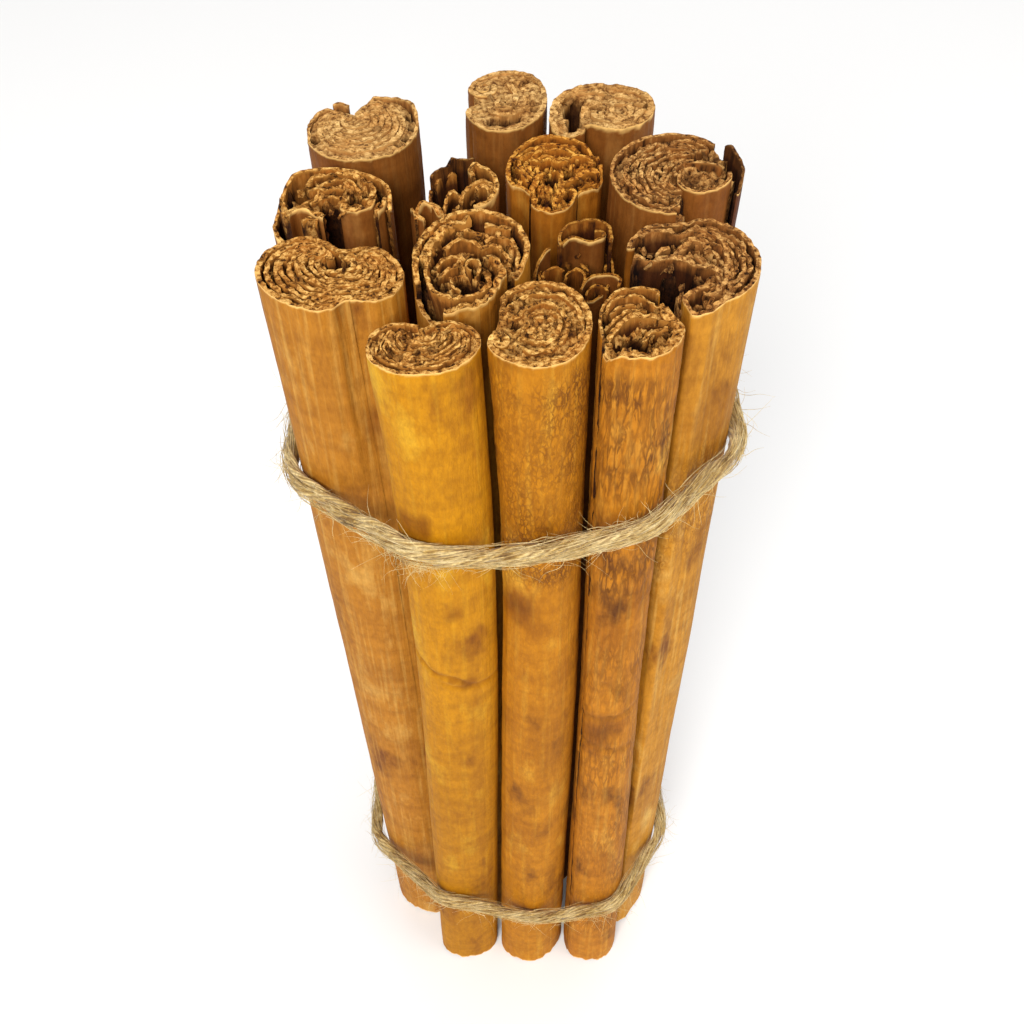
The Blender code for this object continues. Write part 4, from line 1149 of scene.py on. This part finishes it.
                    ragged=0.2, shade=0.15),
               dict(points=[(-0.6, 4.4), (0.8, 5.3), (2.4, 5.2), (3.6, 4.2), (2.4, 3.6)], wall=0.6)],
        nests=[dict(eye=(1.6, 0.2), shares=(0.88, 0.36), count=6, arc=(64, 262), seed=19, wavy=0.25,
                    wall=0.6, ragged=0.35, drops=(0.2, 0.5))],
        core=dict(depth=0.9, lumps=0.5, chips=14, cuts=((304, 0.5, 16), (330, 0.3, 16)),
                  pits=((-5.0, -4.2, 0.5, 6), (-6.2, -1.6, 0.4, 6), (-1.2, -5.2, 0.6, 8),
                        (-2.4, -3.6, 0.5, 5), (-3.6, 4.6, 0.5, 4), (1.4, -4.2, 1.2, 14), (5.7, 1.9, 0.8, 6),
                        (6.0, 0.6, 0.6, 6)))),
}

# the name that each quill's bark and roll take, from its node's name
pieceNames = {node: "".join(word.title() for word in node.split("_")[1:]) for node in quillLooks}
quillShapes = {}
# each quill has its own hundred of seeds
for k, (node, look) in enumerate(quillLooks.items()):
    shape = readQuill(node)
    quillShapes[node] = shape
    bark = makeOuter("bark" + pieceNames[node], shape, look, look["tone"], 100 * k + 1)
    roll = makeInner("roll" + pieceNames[node], shape, look, 100 * k + 51)
    for piece in (bark, roll):
        pick(piece)
        bpy.ops.object.shade_smooth_by_angle(angle=math.radians(50))
        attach(piece, "root")
        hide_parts(node)
    print(node, "bark and roll:", len(bark.data.polygons), len(roll.data.polygons), "faces")


def hullOf(points):
    # the tight line round a cloud of points, anticlockwise
    points = sorted(map(tuple, points))

    def half(run):
        kept = []
        for p in run:
            while len(kept) > 1:
                (ax, ay), (bx, by) = kept[-2], kept[-1]
                if (bx - ax) * (p[1] - ay) - (by - ay) * (p[0] - ax) > 0:
                    break
                kept.pop()
            kept.append(p)
        return kept

    return np.array(half(points)[:-1] + half(points[::-1])[:-1])


twineLook = dict(
    deep=0.95, tall=1.3,  # half its thickness and half its height on the quills, in millimetres
    plyRadius=0.74, plyOffset=0.5, pitch=15.0, strands=6, strandDepth=0.1, sides=20, step=0.4,
    surfaceFibres=640, strayHairs=520, hairRadius=0.03,
    knotBearing=97, knotReach=35,  # where the knot is, and how far it spoils the frame's loop, in degrees
    tailLength=10.0,
)


def twineRoute(node, slips):
    # tight round the quills, at the height and tilt of the frame's own loop
    points = np.array([v.co[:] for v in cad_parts[node].data.vertices]) / mm
    bearing = bearingOf(points)
    calm = np.abs(degreesPast(bearing, twineLook["knotBearing"])) > twineLook["knotReach"]
    waves = np.c_[np.ones(len(bearing)), np.cos(bearing), np.sin(bearing)]
    tilt = np.linalg.lstsq(waves[calm], points[calm, 2], rcond=None)[0]
    outlines = []
    for shape in quillShapes.values():
        bearings = np.linspace(0, turnAround, 90, endpoint=False)
        outlines.append(spotAt(shape, bearings, np.ones(90), np.full(90, tilt[0])))
    hull = hullOf(np.vstack(outlines))
    angles = np.linspace(0, turnAround, 720, endpoint=False)
    out = np.stack([np.cos(angles), np.sin(angles)], 1)
    ring = hull[np.argmax(out @ hull.T, axis=1)] + out * (twineLook["deep"] + 0.05)
    closed = np.vstack([ring, ring[:1]])
    lengths = lengthsAlong(closed)
    count = int(lengths[-1] / twineLook["step"])
    along = np.linspace(0, lengths[-1], count, endpoint=False)
    flat = np.stack([np.interp(along, lengths, closed[:, 0]), np.interp(along, lengths, closed[:, 1])], 1)
    around = bearingOf(flat)
    heights = tilt[0] + tilt[1] * np.cos(around) + tilt[2] * np.sin(around)
    for spot, rise, slack, spread in slips:
        near = bell(degreesPast(around, spot) / spread)
        heights = heights + rise * near
        flat = flat + np.c_[np.cos(around), np.sin(around)] * (slack * near)[:, None]
    return np.c_[flat, heights]


def framesAlong(route, closed):
    # at each point of a route: the way along it, out to the side, and up
    along = np.gradient(route, axis=0) if not closed else np.roll(route, -1, 0) - np.roll(route, 1, 0)
    along /= np.linalg.norm(along, axis=1)[:, None]
    side = np.cross(along, np.array([0, 0, 1.0]))
    side /= np.linalg.norm(side, axis=1)[:, None] + 1e-9
    return along, side, np.cross(side, along)


def makePly(route, phase, seed, closed=True, size=1.0):
    # one of the twine's plies, wound round a route, with the strands that it is spun from
    look = twineLook
    count = len(route)
    turns = count * look["step"] / look["pitch"]
    turns = round(turns) if closed else turns * 1.4
    angle = phase + turnAround * turns * np.arange(count) / count
    side, up = framesAlong(route, closed)[1:]
    side = side * look["deep"] / look["tall"]
    chance = np.random.default_rng(seed)
    loose = size * (1 + 0.14 * crumple(np.arange(count) / 26, 0.5, seed))
    offset = look["plyOffset"] * loose
    centre = route + side * (np.cos(angle) * offset)[:, None] + up * (np.sin(angle) * offset)[:, None]
    strands = look["strands"]
    depth = look["strandDepth"] * (1 + 0.6 * chance.uniform(-1, 1, strands))
    columns = count + 1 if closed else count

    def placed(column, row):
        at = column % count
        around = row / look["sides"] * turnAround
        strand = around * strands / turnAround - angle[at] * 1.2
        fluff = 0.07 * crumple(at / 3.0, row / 2.2, seed + 4)
        ridge = depth[np.floor(strand).astype(int) % strands] * (np.abs(np.cos(strand * math.pi)) - 0.6)
        thick = look["plyRadius"] * (1 + 0.12 * crumple(at / 15, 3.3, seed + 2)) + ridge + fluff
        thick = thick * size
        spot = centre[at] + side[at] * (np.cos(around) * thick)[:, None]
        return spot + up[at] * (np.sin(around) * thick)[:, None]

    obj = sheetOf("ply", columns, look["sides"] + 1, placed)
    vertices = len(obj.data.vertices)
    row, column = np.arange(vertices) // columns, np.arange(vertices) % columns % count
    strand = row / look["sides"] * strands - angle[column] * 1.2
    note(obj, "strand", (np.floor(strand) * 0.618 + 0.31 * seed) % 1)
    # painted shade in the grooves between the strands
    note(obj, "grooveShade", 1 - np.abs(np.cos(strand * math.pi)))
    weld(obj, 0.00002, None if closed else 0)
    return obj


hairSteps = 11


def makeHair(paths, radii, shades, name):
    # many thin three-sided fibres in one sheet, cut apart between one fibre and the next
    paths, radii = np.array(paths), np.array(radii)
    total, steps = paths.shape[:2]
    columns = total * steps
    along = np.gradient(paths, axis=1)
    along /= np.linalg.norm(along, axis=2)[..., None] + 1e-9
    side = np.cross(along, np.array([0.21, 0.33, 0.92]))
    side /= np.linalg.norm(side, axis=2)[..., None] + 1e-9
    up = np.cross(side, along)

    def placed(column, row):
        which, step = column // steps, column % steps
        around = row / 3 * turnAround
        taper = radii[which] * (1 - 0.75 * (step / (steps - 1)) ** 2)
        spot = paths[which, step] + side[which, step] * (np.cos(around) * taper)[:, None]
        return spot + up[which, step] * (np.sin(around) * taper)[:, None]

    obj = sheetOf(name, columns, 4, placed)
    note(obj, "strand", np.array(shades)[(np.arange(columns * 4) % columns) // steps])
    note(obj, "grooveShade", np.zeros(columns * 4))
    pick(obj)
    bpy.ops.object.mode_set(mode="EDIT")
    bpy.ops.mesh.select_mode(type="FACE")
    bpy.ops.mesh.select_all(action="DESELECT")
    bpy.ops.object.mode_set(mode="OBJECT")
    face = np.arange(len(obj.data.polygons)) % (columns - 1)
    obj.data.polygons.foreach_set("select", face % steps == steps - 1)
    bpy.ops.object.mode_set(mode="EDIT")
    bpy.ops.mesh.delete(type="FACE")
    bpy.ops.object.mode_set(mode="OBJECT")
    weld(obj, 0.000001, 3)
    return obj


def nearestTo(route, spot):
    # which of a route's points lies at a bearing in degrees
    return int(np.argmin(np.abs(degreesPast(bearingOf(route), spot))))


def hairsOn(route, fans, seed):
    # fibres lying along the twine, stray ones that curl off it, and fans where it has frayed
    look = twineLook
    chance = np.random.default_rng(seed)
    along, side, up = framesAlong(route, True)
    count = len(route)
    paths, radii, shades = [], [], []

    def onTwine(at, around, reach):
        outward = side[at] * math.cos(around) * look["deep"] + up[at] * math.sin(around) * look["tall"]
        return route[at] + outward * reach

    steps = np.linspace(0, 1, hairSteps)
    for k in range(look["surfaceFibres"]):
        at, around = int(chance.integers(0, count)), chance.uniform(-2.2, 2.2)
        length, way = chance.uniform(5, 15), chance.choice((-1, 1))
        swirl, lift = way * chance.uniform(0.1, 0.45), chance.uniform(0.0, 0.12)
        sway, phase = chance.uniform(0.02, 0.16), chance.uniform(0, 6)
        path = []
        for t in steps:
            step = (at + int(round(way * length * t / look["step"]))) % count
            reach = 0.98 + 1.3 * sway * (1 + math.sin(phase + t * 7)) + lift * t * t
            path.append(onTwine(step, around + swirl * t * length / 3.2, reach))
        paths.append(path)
        radii.append(look["hairRadius"] * chance.uniform(0.9, 2.0))
        shades.append(chance.uniform(0.2, 1))

    def stray(at, around, length, leave, droop):
        heading = along[at] * chance.choice((-1, 1)) * chance.uniform(0.4, 1)
        heading = heading + (side[at] * math.cos(around) + up[at] * math.sin(around)) * leave
        heading = heading / np.linalg.norm(heading)
        bend, curl = chance.uniform(-0.6, 0.6, 3), chance.uniform(-0.25, 0.25, 3)
        start = onTwine(at, around, 0.85)
        paths.append([start + length * (heading * t + bend * t * t * 0.6 + curl * math.sin(t * 6) * 0.3)
                      - np.array([0, 0, droop * t * t]) for t in steps])
        radii.append(look["hairRadius"] * chance.uniform(0.5, 1.2))
        shades.append(chance.uniform(0.3, 1))

    for k in range(look["strayHairs"]):
        stray(int(chance.integers(0, count)), chance.uniform(-1.7, 1.7), chance.uniform(1.0, 4.6),
              chance.uniform(0.1, 0.8), 0)
    for spot, hairs, spread, around, length in fans:
        near = nearestTo(route, spot)
        for k in range(hairs):
            at = int(near + chance.normal(0, spread / look["step"])) % count
            stray(at, around + chance.uniform(-0.5, 0.5), length * chance.uniform(0.4, 1.1),
                  chance.uniform(0.5, 1.6), chance.uniform(0, 0.3))
    return makeHair(paths, radii, shades, "hairs")


def knotAt(route, seed):
    # the twine's ends tied at the back: one turn round itself, then two loose frayed ends
    look = twineLook
    chance = np.random.default_rng(seed)
    at = nearestTo(route, look["knotBearing"])
    along, side, up = (v[at] for v in framesAlong(route, True))
    middle = route[at] + side * 0.5
    parts, paths, radii, shades = [], [], [], []
    turn = np.linspace(-0.5, 2.35, 60)[:, None] * math.pi
    coil = middle + along * (turn * 0.42 - 1.2) + side * np.cos(turn) * 1.25 + up * np.sin(turn) * 1.9
    for way, drop in ((1, 0.55), (-1, 0.85)):
        t = np.linspace(0, 1, 34)[:, None]
        tail = middle + side * (0.9 + 1.3 * t) + along * way * (0.6 + look["tailLength"] * 0.62 * t)
        tail = tail + up * (0.5 * t - look["tailLength"] * drop * t * t)
        parts += [makePly(tail, phase, seed + 3 + way, closed=False, size=0.86) for phase in (0, math.pi)]
        onward = tail[-1] - tail[-4]
        onward = onward / np.linalg.norm(onward)
        for k in range(70):
            length, start = chance.uniform(1.5, 5.0), chance.integers(26, 34)
            spread = chance.normal(0, 0.28, 3)
            curl = chance.uniform(-0.3, 0.3, 3)
            begin = tail[start] + chance.normal(0, 0.35, 3)
            paths.append([begin + length * ((onward + spread) * s + curl * s * s)
                          for s in np.linspace(0, 1, hairSteps)])
            radii.append(look["hairRadius"] * chance.uniform(0.8, 2.2))
            shades.append(chance.uniform(0.2, 1))
    parts += [makePly(coil, phase, seed + 9, closed=False, size=0.92) for phase in (0, math.pi)]
    return parts + [makeHair(paths, radii, shades, "frayedEnds")]


def doubledStrand(route, start, end, inset, lower, seed):
    # a loose second strand beside the twine over part of its way
    bearing = np.degrees(bearingOf(route)) % 360
    members = np.flatnonzero((bearing > start) & (bearing < end))
    beside = route[members[np.argsort(bearing[members])]].copy()
    apart = smoothStep(np.minimum(np.linspace(0, 6, len(beside)), np.linspace(6, 0, len(beside))))
    inward = beside[:, :2] / np.hypot(beside[:, 0], beside[:, 1])[:, None]
    beside[:, :2] -= inward * (inset * apart)[:, None]
    beside[:, 2] -= lower * apart
    return [makePly(beside, phase, seed, closed=False, size=0.62) for phase in (0, math.pi)]


juteTones = dict(base=(0.58, 0.385, 0.115), light=(0.88, 0.71, 0.36), dark=(0.19, 0.10, 0.030))


def juteMaterial():
    material, tree, shader = newMaterial("juteFibre", 0.75)
    place = mapped(tree, (1.0, 1.0, 1.0))
    patch = noiseOf(tree, place, 420, 4, 0.6)
    fibre = noiseOf(tree, place, 2600, 3, 0.6)
    # each strand has its own tone, and the patches vary it
    strandShare = mathOf(tree, "MULTIPLY", attributeOf(tree, "strand"), 0.35)
    tone = mathOf(tree, "ADD", strandShare, patch)
    colour = rampOf(tree, tone, ((0.38, juteTones["dark"]), (0.58, juteTones["base"]),
                                 (0.86, juteTones["light"])))
    grain = rampOf(tree, fibre, ((0.35, (0.6, 0.55, 0.5)), (0.62, (1.05, 1.04, 1.0))))
    colour = mixed(tree, 0.8, colour, grain, "MULTIPLY")
    # painted shade in the grooves between the strands
    colour = mixed(tree, attributeOf(tree, "grooveShade"), colour, juteTones["dark"])
    tree.links.new(colour, shader.inputs["Base Color"])
    shader.inputs["Sheen Weight"].default_value = 0.25
    shader.inputs["Sheen Roughness"].default_value = 0.5
    bumped(tree, shader, fibre, 0.5, 0.0002)
    return material


jute = juteMaterial()
# slips: bearing, rise, slack and spread of each place where a loop has slipped out of its plane;
# doubled: the bearings between which a second strand runs, how far in it lies and how far down;
# fans: bearing, hairs, spread, angle round the twine and length of each frayed place
loopLooks = {
    "twine_upper": dict(
        piece="twineUpper",
        slips=((314, 2.9, 0.25, 26), (246, 1.2, 0, 16), (352, 1.2, -0.3, 18)),
        doubled=((196, 262, 0.1, -1.0), (262, 332, -0.2, 0.9), (340, 359, 0.5, -0.3)),
        fans=((248, 70, 2.2, -1.3, 3.2), (283, 26, 2.5, 1.2, 2.6), (300, 30, 3.0, 1.4, 3.0),
              (205, 24, 3.0, 1.2, 2.6))),
    "twine_lower": dict(
        piece="twineLower",
        slips=((198, -1.3, 0.7, 17), (245, 2.8, 0, 15), (279, -2.8, 0, 15), (352, -0.6, 0, 20)),
        doubled=((150, 222, 0.45, -0.5), (330, 359, 0.5, -0.4)),
        fans=((240, 24, 3.0, -1.2, 2.4), (300, 26, 3.0, -1.2, 2.6))),
}
for k, (node, look) in enumerate(loopLooks.items()):
    route = twineRoute(node, look["slips"])
    parts = [makePly(route, phase, 700 + 10 * k + j) for j, phase in enumerate((0, math.pi))]
    for j, (start, end, inset, lower) in enumerate(look["doubled"]):
        parts = parts + doubledStrand(route, start, end, inset, lower, 780 + 10 * k + j)
    parts = parts + [hairsOn(route, look["fans"], 740 + k)] + knotAt(route, 760 + k)
    twine = joinAll(look["piece"], parts)
    wear(twine, jute)
    pick(twine)
    bpy.ops.object.shade_smooth()
    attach(twine, "root")
    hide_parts(node)
    print(node, len(twine.data.polygons), "faces")


stageLook = dict(
    floorSize=3.0, floorTone=(0.90, 0.90, 0.90),
    floorHeight=-0.0002,  # a hair under the feet's lowest crumbs
    keyPower=13.0, fillPower=2.2, worldStrength=0.4,
)

deselectAll()
bpy.ops.mesh.primitive_plane_add(size=stageLook["floorSize"], location=(0, 0, stageLook["floorHeight"]))
floor = bpy.context.object
floor.name = "floor"
floorPaint, _, floorShader = newMaterial("floorPaint", 0.9)
floorShader.inputs["Base Color"].default_value = (*stageLook["floorTone"], 1)
floor.data.materials.append(floorPaint)


def areaLight(name, location, target, size, power, tone=(1, 1, 1)):
    deselectAll()
    bpy.ops.object.light_add(type="AREA", location=location)
    light = bpy.context.object
    light.name = name
    light.data.size = size
    light.data.energy = power
    light.data.color = tone
    light.rotation_euler = (Vector(target) - Vector(location)).to_track_quat("-Z", "Y").to_euler()


areaLight("keyLight", (-0.2, -0.8, 0.85), (0, 0, 0.08), 0.5, stageLook["keyPower"], (1.0, 0.985, 0.96))
areaLight("fillLight", (0.7, -0.35, 0.55), (0, 0, 0.08), 0.6, stageLook["fillPower"], (1.0, 0.99, 0.98))
areaLight("topLight", (0.05, 0.35, 0.9), (0, 0, 0.1), 0.6, stageLook["fillPower"], (1, 1, 1))

world = bpy.data.worlds.new("paleRoom")
bpy.context.scene.world = world
world.use_nodes = True
background = world.node_tree.nodes["Background"]
background.inputs["Color"].default_value = (1, 1, 1, 1)
background.inputs["Strength"].default_value = stageLook["worldStrength"]

cameraLook = dict(
    place=(-0.00004, -0.10738, 0.2337), lens=45.49, sensorWidth=36, nearest=0.01,
    down=51.53,  # degrees under the level
    roll=-0.01264,  # radians round its own axis
)

deselectAll()
bpy.ops.object.camera_add(location=cameraLook["place"])
camera = bpy.context.object
camera.name = "camera"
camera.data.lens = cameraLook["lens"]
camera.data.sensor_width = cameraLook["sensorWidth"]
camera.data.clip_start = cameraLook["nearest"]
pitch = Matrix.Rotation(math.radians(90 - cameraLook["down"]), 3, "X")
camera.rotation_euler = (pitch @ Matrix.Rotation(cameraLook["roll"], 3, "Z")).to_euler()
bpy.context.scene.camera = camera
bpy.context.scene.view_settings.view_transform = "Standard"
print("floor, lights and camera ready")
